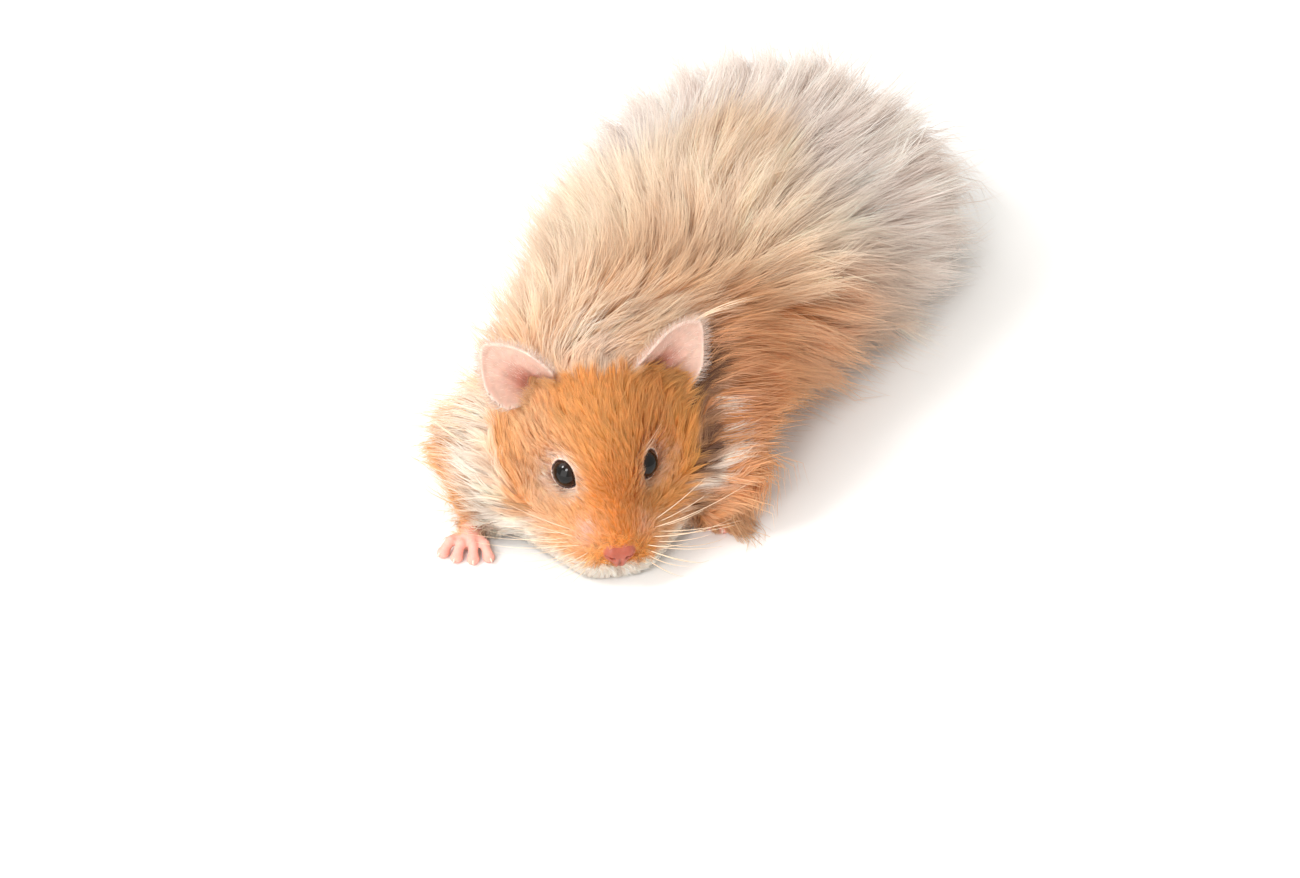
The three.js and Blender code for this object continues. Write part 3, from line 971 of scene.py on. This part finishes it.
STEPS = 6  # along a hair
SKIRT = 13.0  # the height below which the coat hangs straight down
STEEPEST_FALL, STEEPEST_RISE = 0.5, 0.64  # shares of a step


def hang(p, level):
    """What the hair lies on: the flesh and the ears, but straight down below a level."""
    q = p.copy()
    q[:, 2] = np.maximum(q[:, 2], level)
    found = ground(q)
    for side in (1, -1):
        root, _, along, _ = EAR_FRAMES[side]
        near = np.linalg.norm(p - root - along * 5, axis=1) < 14
        found[near] = fillet(found[near], EAR_FORMS[side](p[near]), 1.5)
    return found


def trace(places, length, room, stand, turn, bend):
    """The middle lines of locks, each stepped along the comb and lifted off the flesh."""
    level = np.where(places[:, 1] > -36, np.minimum(SKIRT, places[:, 2]), 0.0)

    def under(p):
        return hang(p, np.tile(level, len(p) // len(level)))
    path = [places]
    at = places.copy()
    step = (length / STEPS)[:, None]
    top = np.minimum(room * 1.15 + 0.3, 0.85 * length)
    for k in range(1, STEPS + 1):
        s = k / STEPS
        grad = slope_of(under, at, 0.2)
        steep = np.linalg.norm(grad, axis=1, keepdims=True)
        n = grad / np.maximum(steep, 0.2)
        way = comb(at)
        way = unit(way - dot(way, n)[:, None] * n)
        angle = (turn + 0.5 * swirl(at) + bend * s)[:, None]
        way = way * np.cos(angle) + np.cross(n, way) * np.sin(angle)
        height = top * ((1 - stand) * (1 - (1 - s) ** 1.6) + stand * s)
        rise = (height - under(at))[:, None]
        rise = np.clip(rise, -STEEPEST_FALL * step, STEEPEST_RISE * step)
        at = at + way * np.sqrt(step ** 2 - rise ** 2) + n * rise
        at[:, 2] = np.maximum(at[:, 2], 0.25)
        path.append(at)
    return np.stack(path, 1)


def nearest(places, to):
    tree = KDTree(len(to))
    for i, place in enumerate(to):
        tree.insert(place, i)
    tree.balance()
    return np.array([tree.find(place)[1] for place in places])


# ------------------------------------------------------------------ hairs as ribbons

PATCH = 0.003  # the size of a hair's place on the unwrap
LOWEST_HAIR = 0.12  # above the floor


def ribbons(name, paths, facing, normals, width, colours, flat):
    """Flat tapering ribbons along paths, joined in one mesh. colours holds one for each step."""
    count, steps = len(paths), paths.shape[1] - 1
    s = np.arange(steps) / steps
    way = unit(np.gradient(paths, axis=1))[:, :-1]
    side = unit(np.cross(way, facing[:, None, :]))
    profile = np.minimum(1, 0.75 + 1.5 * s) * (1 - 0.85 * s ** 2)
    half = (width[:, None] * profile / 2)[:, :, None] * side
    points = np.empty((count, 2 * steps + 1, 3))
    points[:, 0:-1:2] = paths[:, :-1] - half
    points[:, 1:-1:2] = paths[:, :-1] + half
    points[:, -1] = paths[:, -1]
    points[:, :, 2] = np.maximum(points[:, :, 2], LOWEST_HAIR)
    tris = []
    for k in range(steps - 1):
        a = 2 * k
        tris += [(a, a + 1, a + 3), (a, a + 3, a + 2)]
    tris.append((2 * steps - 2, 2 * steps - 1, 2 * steps))
    tris = np.array(tris)
    faces = (np.arange(count) * (2 * steps + 1))[:, None, None] + tris
    thing = new_object(name, points.reshape(-1, 3), faces.reshape(-1, 3))
    mesh = thing.data
    rows = np.repeat(np.arange(steps + 1), 2)[:-1]
    store(thing, "tint", colours[:, rows].reshape(-1, 3))
    spread = np.stack([np.tile([-0.5, 0.5], steps + 1)[:-1], rows / steps - 0.5], 1) * PATCH
    spread[-1, 0] = 0
    places = (flat[:, None, :] + spread[None]).reshape(-1, 2)
    layer = mesh.uv_layers.new(name="OFBake")
    layer.uv.foreach_set("vector", places[faces.ravel()].astype(np.float32).ravel())
    lean = unit(0.65 * normals + 0.35 * facing)
    lean = np.repeat(lean[:, None, :], 2 * steps + 1, 1).reshape(-1, 3)
    free = mesh.attributes.new("custom_normal", "FLOAT_VECTOR", "POINT")
    free.data.foreach_set("vector", lean.astype(np.float32).ravel())
    return thing


def twisted(way, normal, most):
    """The side a ribbon shows: the skin's normal, turned about the hair by a random angle."""
    out = unit(normal - dot(normal, way)[:, None] * way)
    angle = rng.uniform(-most, most, len(way))[:, None]
    return out * np.cos(angle) + np.cross(way, out) * np.sin(angle)


# ------------------------------------------------------------------ the coat

UNDERCOAT_AND_SHADE = np.array([0.99, 0.89, 0.8])  # the share of each colour that a hair's root keeps: partly the real undercoat, partly painted warm shade deep in the coat


def clear_of_bare_parts(root, paths):
    """Shortens the hairs that would run through an ear or across an eye, to end before it."""
    keep = np.ones(len(root))
    near_by = np.abs(in_head(root) - (-11, 0, 5))
    near_by = np.flatnonzero((near_by[:, 0] < 24) & (near_by[:, 1] < 32) & (near_by[:, 2] < 21))
    for k in range(STEPS, 0, -1):
        for half in (0, 0.5):
            at = paths[near_by, k] * (1 - half) + paths[near_by, k - 1] * half
            into = np.min([EAR_FORMS[side](at) for side in (1, -1)], axis=0) < 0.15
            for side in (1, -1):
                centre, axis = EYES[side]
                ahead = (at - centre) @ axis
                cone = 0.15 + 0.7 * np.maximum(ahead - 1.5, 0)
                into |= (from_lids(at, side) < cone) & (ahead > 0) & (ahead < 9)
            keep[near_by[into]] = np.maximum(k - half - 0.7, 0.1) / STEPS
    return root[:, None] + (paths - root[:, None]) * keep[:, None, None]


FARTHEST = np.array(CAD_BOX) * 1000 - OFFSET + np.array([[-7.5], [7.5]])


def within_reach(root, paths):
    """Shortens the hairs whose tips would lie too far beyond the coat's outer form."""
    out = paths - root[:, None]
    bound = np.where(out > 0, FARTHEST[1], FARTHEST[0]) - root[:, None]
    keep = np.where(np.abs(out) > 1e-6, bound / np.where(np.abs(out) > 1e-6, out, 1), 1)
    return root[:, None] + out * np.clip(keep.min(axis=(1, 2)), 0.1, 1)[:, None, None]


LOCK_SPACING = 0.23  # as a share of the hair's length
LOCK_STRAY = 0.7  # how far off a lock takes its colour from
STRANDS_PER_LOCK = 5
WAVES, WAVE_DEPTH = 0.55, 0.022  # per millimetre of hair
WISPS = 0.09  # the share of the long hairs that stand off the coat
WISP_LIFT = 3.2
LOOSE = 0.12  # the share of the hairs that lie across their lock, and of the long ones besides
LOOSE_LONG = 0.14


def grow(share):
    """Every hair of the coat: paths, facing sides, root normals, widths, colours and places."""
    whole = habit(face_places, unit(skin_normals[skin_faces].mean(1)))
    spacing = np.clip(LOCK_SPACING * whole["length"], 0.8, 3.6)
    haired = whole["density"] > 0.4

    lock_density = haired / (0.75 * spacing ** 2)
    lock_root, lock_normal, _ = scatter(amount(lock_density), lock_density)
    locks = habit(lock_root, lock_normal)
    n = len(lock_root)
    lock_length = locks["length"] * rng.uniform(0.82, 1.15, n)
    # round the eyes the coat lies low, so that it hides them from no side
    lock_gap = np.maximum(from_both_lids(lock_root), 0)
    lock_room = np.minimum(room_over(lock_root, lock_normal), 0.3 + 0.45 * lock_gap)
    lock_path = trace(
        lock_root, lock_length, lock_room,
        locks["stand"] * rng.uniform(0.5, 1.5, n),
        rng.normal(0, 0.16, n) * (1 + 6 * locks["wild"]),
        rng.normal(0, 0.22, n) * (1 + 5 * locks["wild"]))
    lock_pull = np.clip(locks["clump"] * rng.uniform(0.6, 1.3, n), 0, 0.85)
    lock_shade = rng.normal(0, 0.06, n)
    lock_stray = rng.normal(0, LOCK_STRAY, (n, 3))

    strand_density = lock_density * STRANDS_PER_LOCK
    strand_root = scatter(amount(strand_density), strand_density)[0]
    strand_lock = nearest(strand_root, lock_root)
    m = len(strand_root)
    strand_shade = rng.normal(0, 0.05, m)
    strand_turn = rng.normal(0, 0.05, (m, 3))

    density = whole["density"] * share
    root, normal, flat = scatter(amount(density), density)
    mine = habit(root, normal)
    strand = nearest(root, strand_root)
    lock = strand_lock[strand]
    n = len(root)

    wisp = (rng.random(n) < WISPS) * smooth(8, 12, mine["length"])
    reach = rng.uniform(0.72, 1.08, n) * (1 + 0.35 * wisp)
    shift = lock_path[lock] - lock_path[lock][:, :1]
    s = np.linspace(0, 1, STEPS + 1)[None, :, None]
    to_strand = (root - strand_root[strand])[:, None]
    to_lock = (strand_root[strand] - lock_root[lock])[:, None]
    loose = rng.random(n) < LOOSE + LOOSE_LONG * (mine["length"] > 9)
    pull = np.where(loose, -0.5, lock_pull[lock])[:, None, None]
    close = np.where(loose, -0.3, 0.62)[:, None, None]
    long = mine["length"][:, None, None]
    paths = root[:, None] + shift * reach[:, None, None]
    paths -= to_lock * pull * s ** 1.2 + to_strand * close * s ** 0.9
    paths += strand_turn[strand][:, None] * long * s
    paths += rng.normal(0, 0.028, (n, 1, 3)) * long * s
    phase = rng.uniform(0, 6.28, (n, 1, 1))
    wave = np.sin(s * long * WAVES + phase) * np.clip(long - 5, 0, 8) * WAVE_DEPTH * s
    paths += wave * unit(rng.normal(size=(n, 1, 3)))
    paths[:, :, 2] = np.maximum(paths[:, :, 2], 0.15 + 0.5 * rng.random((n, 1)))
    paths += (normal * WISP_LIFT * wisp[:, None])[:, None] * s ** 1.5
    paths = within_reach(root, clear_of_bare_parts(root, paths))

    # a hair's colour is that of the place where its outer half shows
    shown = np.where((mine["length"] > 11)[:, None], paths[:, 4], paths[:, 3])
    colour_root, colour_tip = markings(shown + lock_stray[lock])
    shade = 1 + lock_shade[lock] + strand_shade[strand]
    shade += rng.normal(0, 0.06 + 0.16 * mine["wild"])
    shade = np.clip(shade, 0.6, 1.35)[:, None, None]
    colours = colour_root[:, None] * (1 - s) + colour_tip[:, None] * s
    # roots darker and warmer: partly the undercoat, partly painted shade between the hairs
    undercoat_and_shade = 1 - (1 - UNDERCOAT_AND_SHADE) * (1 - np.minimum(1, 2 * s))
    colours = np.clip(colours * shade * undercoat_and_shade, 0.005, 0.97)
    way = unit(paths[:, 2] - paths[:, 0])
    facing = twisted(way, normal, 0.9)
    return {"paths": paths, "facing": facing, "normals": normal, "width": mine["width"],
            "colours": colours, "flat": flat, "root": root, "length": mine["length"]}


coat = grow(1.0)


def coat_regions(root):
    """A name for each stretch of the coat and the roots that belong to it."""
    f, l, u = in_head(root).T
    x, y, z = root.T
    head = (f > -21) & (np.abs(l) < 23)
    taken = np.zeros(len(root), bool)
    regions = {}

    def take(name, chosen):
        regions[name] = chosen & ~taken
        taken[regions[name]] = True

    take("fur_muzzle", head & (f > 4))
    take("fur_cheek_right", head & (l < 0) & (u < 0))
    take("fur_cheek_left", head & (l >= 0) & (u < 0))
    take("fur_crown", head)
    take("fur_legs", (z < 7) & (np.abs(x) > 15))
    take("fur_neck", y < -34)
    for name, end in (("shoulders", -8), ("back", 30), ("rump", 200)):
        take(f"fur_{name}_right", (y < end) & (x < -2))
        take(f"fur_{name}_left", (y < end))
    return regions


COAT_SLOTS = {"muzzle": "coat_gold", "cheek": "coat_gold", "crown": "coat_gold",
              "legs": "coat_gold", "rump": "coat_pale"}


def finish_piece(thing, material):
    """Gives a piece its material, and places it on the animal's one body."""
    thing.data.materials.append(material)
    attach(thing, "root")


def new_material(name, **sockets):
    """A material, its shader and two functions: one adds a node, one fills a node's sockets."""
    material = bpy.data.materials.new(name)
    material.use_nodes = True
    nodes, links = material.node_tree.nodes, material.node_tree.links

    def fill(node, sockets):
        for socket, value in sockets.items():
            if isinstance(value, bpy.types.NodeSocket):
                links.new(value, node.inputs[socket])
            else:
                node.inputs[socket].default_value = value
        return node

    def add(kind, sockets=None, **settings):
        node = nodes.new("ShaderNode" + kind)
        for setting, value in settings.items():
            setattr(node, setting, value)
        return fill(node, sockets or {}).outputs

    shader = nodes["Principled BSDF"]
    fill(shader, {socket.replace("_", " "): value for socket, value in sockets.items()})
    return material, shader, add, fill


def mottled_tint(add, scale, detail, darkest, lightest):
    """The colour stored on a piece, lightened and darkened by fine noise."""
    noise = add("TexNoise", {
        "Scale": scale, "Detail": detail, "Vector": add("TexCoord")["Object"]})
    spread = add("MapRange", {"To Min": darkest, "To Max": lightest, "Value": noise["Fac"]})
    stored = add("Attribute", attribute_name="tint")
    return add("HueSaturation", {"Color": stored["Color"], "Value": spread["Result"]})["Color"]


GLOW = 0.38  # the share of light that a hair lets through


def coat_material(name, roughness):
    material, shader, add, fill = new_material(
        name, Roughness=roughness, Specular_IOR_Level=0.25, Sheen_Weight=0.15,
        Sheen_Roughness=0.4)
    colour = mottled_tint(add, 900, 3, 0.88, 1.12)
    fill(shader, {"Base Color": colour})
    through = add("BsdfTranslucent", {"Color": colour})
    glow = add("MixShader", {"Fac": GLOW, 1: shader.outputs["BSDF"], 2: through["BSDF"]})
    fill(material.node_tree.nodes["Material Output"], {"Surface": glow["Shader"]})
    return material


coat_materials = {
    f"coat_{tone}": coat_material(f"{tone}_fur", roughness)
    for tone, roughness in (("gold", 0.62), ("cream", 0.66), ("pale", 0.7))}


def rows_for(length):
    """The points of a path that a hair of that length keeps."""
    return [0, 2, 4, 6] if length < 9 else [0, 1, 2, 4, 6]


for name, chosen in coat_regions(coat["root"]).items():
    chosen = np.flatnonzero(chosen)
    if not len(chosen):
        continue
    rows = rows_for(coat["length"][chosen].mean())
    fur = ribbons(
        name, coat["paths"][chosen][:, rows], coat["facing"][chosen], coat["normals"][chosen],
        coat["width"][chosen], coat["colours"][chosen][:, rows], coat["flat"][chosen])
    slot = COAT_SLOTS.get(name.split("_")[1], "coat_cream")
    finish_piece(fur, coat_materials[slot])

# fine pale fuzz on the ears, longer at their rims
FUZZ_DENSITY, FUZZ_WIDTH = (7), 0.075
on_ears = np.zeros(len(skin_faces))
for side in (1, -1):
    _, along, _, past = in_ear(face_places, side)
    on_ear = (EAR_FORMS[side](face_places) < 0.2) * (along < EAR_END)
    on_ears += on_ear * (smooth(-3.5, -0.4, past) + 0.3)
fuzz_root, fuzz_normal, fuzz_flat = scatter(amount(on_ears * FUZZ_DENSITY), on_ears)
fuzz_side = np.where(in_head(fuzz_root)[:, 1] > 0, 1, -1)
fuzz_way = np.empty_like(fuzz_root)
rim = np.empty(len(fuzz_root))
for side in (1, -1):
    mine = fuzz_side == side
    across, _, _, past = in_ear(fuzz_root[mine], side)
    _, out_way, up_way, _ = EAR_FRAMES[side]
    fuzz_way[mine] = up_way + 0.22 * across[:, None] * out_way
    rim[mine] = smooth(-1.2, 0, past)
fuzz_way = unit(unit(fuzz_way) + 0.3 * fuzz_normal + rng.normal(0, 0.16, fuzz_way.shape))
fuzz_reach = (1.0 + 1.0 * rim) * rng.uniform(0.7, 1.2, len(rim))
s = np.linspace(0, 1, 4)[None, :, None]
bow = 0.25 * fuzz_way - 0.2 * fuzz_normal
fuzz_paths = fuzz_root[:, None] + fuzz_reach[:, None, None] * (
    fuzz_way[:, None] * s + bow[:, None] * s ** 2)
fuzz_tint = paint(WHITE, rng.random(len(rim)), np.tile(EAR_PALE, (len(rim), 1)))
fuzz = ribbons(
    "fuzz_ears", fuzz_paths, twisted(fuzz_way, fuzz_normal, 0.9), fuzz_normal,
    np.full(len(rim), FUZZ_WIDTH), np.repeat(fuzz_tint[:, None], 4, 1), fuzz_flat)
finish_piece(fuzz, coat_materials["coat_pale"])

# ------------------------------------------------------------------ skin, eyes, claws, whiskers


def skin_material():
    material, shader, add, fill = new_material(
        "bare_skin", Specular_IOR_Level=0.4, Subsurface_Weight=0.3,
        Subsurface_Radius=(1.0, 0.4, 0.25), Subsurface_Scale=0.0012)
    moist = add("Attribute", attribute_name="moist")
    gloss = add("MapRange", {"To Min": 0.62, "To Max": 0.34, "Value": moist["Fac"]})
    creases = add("TexVoronoi", feature="DISTANCE_TO_EDGE", sockets={
        "Scale": 2600, "Vector": add("TexCoord")["Object"]})
    bumps = add("Bump", {"Strength": 0.35, "Distance": 0.0001, "Height": creases["Distance"]})
    fill(shader, {"Base Color": mottled_tint(add, 700, 4, 0.78, 1.2),
                  "Roughness": gloss["Result"], "Normal": bumps["Normal"]})
    return material


skin.data.materials.append(skin_material())


def wrap(rings, around):
    """Triangles that join rings of points, and the end rings to the two points after them."""
    i = np.arange(rings * around)
    j = i // around * around + (i + 1) % around
    a, b = i[:-around], j[:-around]
    start, end = len(i) + np.zeros((2, around), int) + [[0], [1]]
    return np.concatenate([
        np.stack(corners, 1) for corners in (
            (a, b, b + around), (a, b + around, a + around),
            (start, j[:around], i[:around]), (end, i[-around:], j[-around:]))])


def tubes(name, paths, radii, sides):
    """Round tapering tubes along paths, joined in one mesh of triangles, closed at both ends."""
    points, faces = [], []
    for path, thick in zip(paths, radii):
        base = sum(len(p) for p in points)
        way = unit(np.gradient(path, axis=0))
        side = unit(np.cross(way, (0.31, 0.2, 0.93)))
        other = np.cross(way, side)
        turn = np.arange(sides) / sides * 2 * np.pi
        ring = (np.cos(turn)[None, :, None] * side[:, None]
                + np.sin(turn)[None, :, None] * other[:, None])
        rings = path[:, None] + ring * thick[:, None, None]
        points.append(np.concatenate([rings.reshape(-1, 3), path[:1], path[-1:]]))
        faces.append(base + wrap(len(path), sides))
    return new_object(name, np.concatenate(points), np.concatenate(faces))


def curve_through(start, way, length, droop):
    """A path that leaves start along way and bends steadily towards droop."""
    s = np.linspace(0, 1, 12)[:, None]
    return start + length * (unit(way) * s + droop * s ** 2)


def ramp(add, value, stops):
    """A colour for a value, from stops of (position, colour)."""
    outputs = add("ValToRGB", {"Fac": value})
    elements = outputs["Color"].node.color_ramp.elements
    for extra in stops[1:-1]:
        elements.new(extra[0])
    for element, (position, colour) in zip(elements, stops):
        element.position, element.color = position, (*colour, 1)
    return outputs["Color"]


def plain_material(name, colour, roughness, speckle, scale):
    """A material whose colour is broken up by fine noise."""
    material, shader, add, fill = new_material(name, Roughness=roughness)
    noise = add("TexNoise", {"Scale": scale, "Vector": add("TexCoord")["Object"]})
    fill(shader, {"Base Color": ramp(add, noise["Fac"], [
        (0, colour * (1 - speckle)), (1, np.minimum(colour * (1 + speckle), 1))])})
    return material


WHISKER_THICKNESS = {1: 0.13, -1: 0.08}  # on its left side the whiskers show best
TRAILING_HAIRS = 14


def whisker_paths():
    paths, radii = [], []

    def add(form, start, way, length, droop, thick):
        path = curve_through(settle(form, start[None], 4, 3)[0], way, length, droop)
        path[:, 2] = np.maximum(path[:, 2], 0.4)
        paths.append(path)
        radii.append(thick * (1 - np.linspace(0, 0.85, len(path))))

    for side in (1, -1):
        for row in range(4):
            for column in range(4):
                start = on_head((14.5 - 1.5 * column, 5.6 + 0.5 * column, -7.4 - 1.2 * row), side)
                length = (11 + 4.0 * column - 0.8 * row) * rng.uniform(0.8, 1.15)
                back = 0.3 * column - 0.12 * row + rng.normal(0, 0.07)
                rise = 0.12 - 0.16 * row + rng.normal(0, 0.06)
                way = head_way((0.45 - back, 1.0, rise), side)
                droop = head_way((-0.45, 0.1, -0.12), side) * rng.uniform(0.15, 0.45)
                add(form, start, way, length, droop, WHISKER_THICKNESS[side])
        for k in range(2):
            add(form, on_head((1.5 - 1.8 * k, 7.2, 5.2), side),
                head_way((-0.1, 0.55, 0.8), side), 8,
                head_way((-1, 0.2, -0.2), side) * 0.35, 0.045)
    # the long pale hairs that trail from the left ear over the shoulder
    for k in range(TRAILING_HAIRS):
        start = on_head((-22.3 - 0.07 * k, 18.5 + 0.34 * k, 15.6 + 0.12 * k))
        way = head_way((-0.3, 0.85 + rng.normal(0, 0.08), 0.5 + rng.normal(0, 0.1)))
        add(EAR_FORMS[1], start, way, rng.uniform(8, 15), np.array((0.25, 0.05, -0.2)), 0.1)
    return paths, radii


whiskers = tubes("whiskers", *whisker_paths(), sides=5)
finish_piece(
    whiskers, plain_material("whisker", tint(252, 222, 192), 0.4, 0.08, 400))

claw_material = plain_material("claw_horn", tint(232, 206, 190), 0.3, 0.1, 900)
for name, places in CLAWS.items():
    paths, radii = [], []
    for tip, way in places:
        s = np.linspace(0, 1, 7)[:, None]
        path = tip + way * 1.15 * s + np.array([0, 0, 1.0]) * (0.2 * s - 0.7 * s ** 2)
        path[:, 2] = np.maximum(path[:, 2], 0.14)
        paths.append(path)
        radii.append(0.34 * (1 - s[:, 0] ** 1.5 * 0.75))
    claws = tubes(f"claws_{name}", paths, radii, sides=8)
    finish_piece(claws, claw_material)


def eye_material():
    """Black round the pupil, brown in the iris, by how far round from the pupil a place lies."""
    material, shader, add, fill = new_material("wet_eye", Roughness=0.04, IOR=1.4)
    ring = add("Attribute", attribute_name="ring")
    fill(shader, {"Base Color": ramp(add, ring["Fac"], [
        (0.2, (0.002, 0.0015, 0.0015)), (0.3, (0.022, 0.009, 0.005)),
        (0.62, (0.016, 0.007, 0.005)), (1.0, (0.01, 0.005, 0.004))])})
    return material


wet = eye_material()
rings, around = 28, 48
for name, side in (("right", -1), ("left", 1)):
    centre, axis, nose_ward, upward = EYE_FRAMES[side]
    theta = np.linspace(0, np.pi, rings)[:, None]
    turn = (np.arange(around) / around * 2 * np.pi)[None]
    swell = EYE_RADIUS * (1 + 0.045 * np.exp(-(theta / 0.6) ** 2))
    ball = (np.cos(theta)[..., None] * axis * np.ones((1, around, 1))
            + (np.sin(theta) * np.cos(turn))[..., None] * nose_ward
            + (np.sin(theta) * np.sin(turn))[..., None] * upward * side)
    inner = (centre + ball * swell[..., None])[1:-1].reshape(-1, 3)
    points = np.concatenate([inner, [centre + axis * swell[0]], [centre - axis * swell[-1]]])
    eyeball = new_object(f"eyeball_{name}", points, wrap(rings - 2, around)[:, ::-1])
    angles = np.repeat(theta[1:-1, 0], around)
    store(eyeball, "ring", np.concatenate([angles, [0, np.pi]]) / np.pi)
    finish_piece(eyeball, wet)
    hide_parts(f"eye_{name}")

# ------------------------------------------------------------------ the studio

floor_mesh = bpy.data.meshes.new("floor")
reach = 4
floor_mesh.from_pydata(
    [(-reach, -reach, 0), (reach, -reach, 0), (reach, reach, 0), (-reach, reach, 0)],
    [], [(0, 1, 2, 3)])
floor = bpy.data.objects.new("floor", floor_mesh)
bpy.context.collection.objects.link(floor)
floor_mesh.materials.append(plain_material("paper", np.array([0.93, 0.93, 0.93]), 0.7, 0.004, 3))

AZIMUTH, ELEVATION = 22, 38  # degrees
TARGET = (8, -52, 20)
DISTANCE = 800  # mm
PIXELS_PER_MM = 4.7
IMAGE_WIDTH = 1300
back = direction(AZIMUTH, ELEVATION)
lens = bpy.data.cameras.new("camera")
lens.sensor_fit = "HORIZONTAL"
lens.sensor_width = 36
lens.lens = lens.sensor_width * PIXELS_PER_MM * DISTANCE / IMAGE_WIDTH
camera = bpy.data.objects.new("camera", lens)
camera.location = Vector(to_frame(np.array(TARGET) + back * DISTANCE))
camera.rotation_euler = Vector(back).to_track_quat("Z", "Y").to_euler()
bpy.context.collection.objects.link(camera)
bpy.context.scene.camera = camera


def softbox(name, place, size, watts, colour=(1, 1, 1)):
    light = bpy.data.lights.new(name, "AREA")
    light.energy, light.size, light.color = watts, size, colour
    lamp = bpy.data.objects.new(name, light)
    lamp.location = place
    lamp.rotation_euler = Vector(place).to_track_quat("Z", "Y").to_euler()
    bpy.context.collection.objects.link(lamp)


softbox("key", (-0.7, -0.5, 1.0), 0.25, 4.9, (1, 0.99, 0.98))
softbox("front", (0.02, -0.94, 1.02), 0.34, 5.7)
softbox("side", (-0.9, 0.1, 1.1), 1.2, 5.8)
softbox("low", (-0.25, -1.2, 0.4), 1.0, 5.6, (1, 0.98, 0.96))
world = bpy.data.worlds.new("studio")
bpy.context.scene.world = world
world.use_nodes = True
sky = world.node_tree.nodes["Background"].inputs
sky["Color"].default_value = (1, 0.965, 0.91, 1)
sky["Strength"].default_value = 0.8
bpy.context.scene.view_settings.view_transform = "Standard"
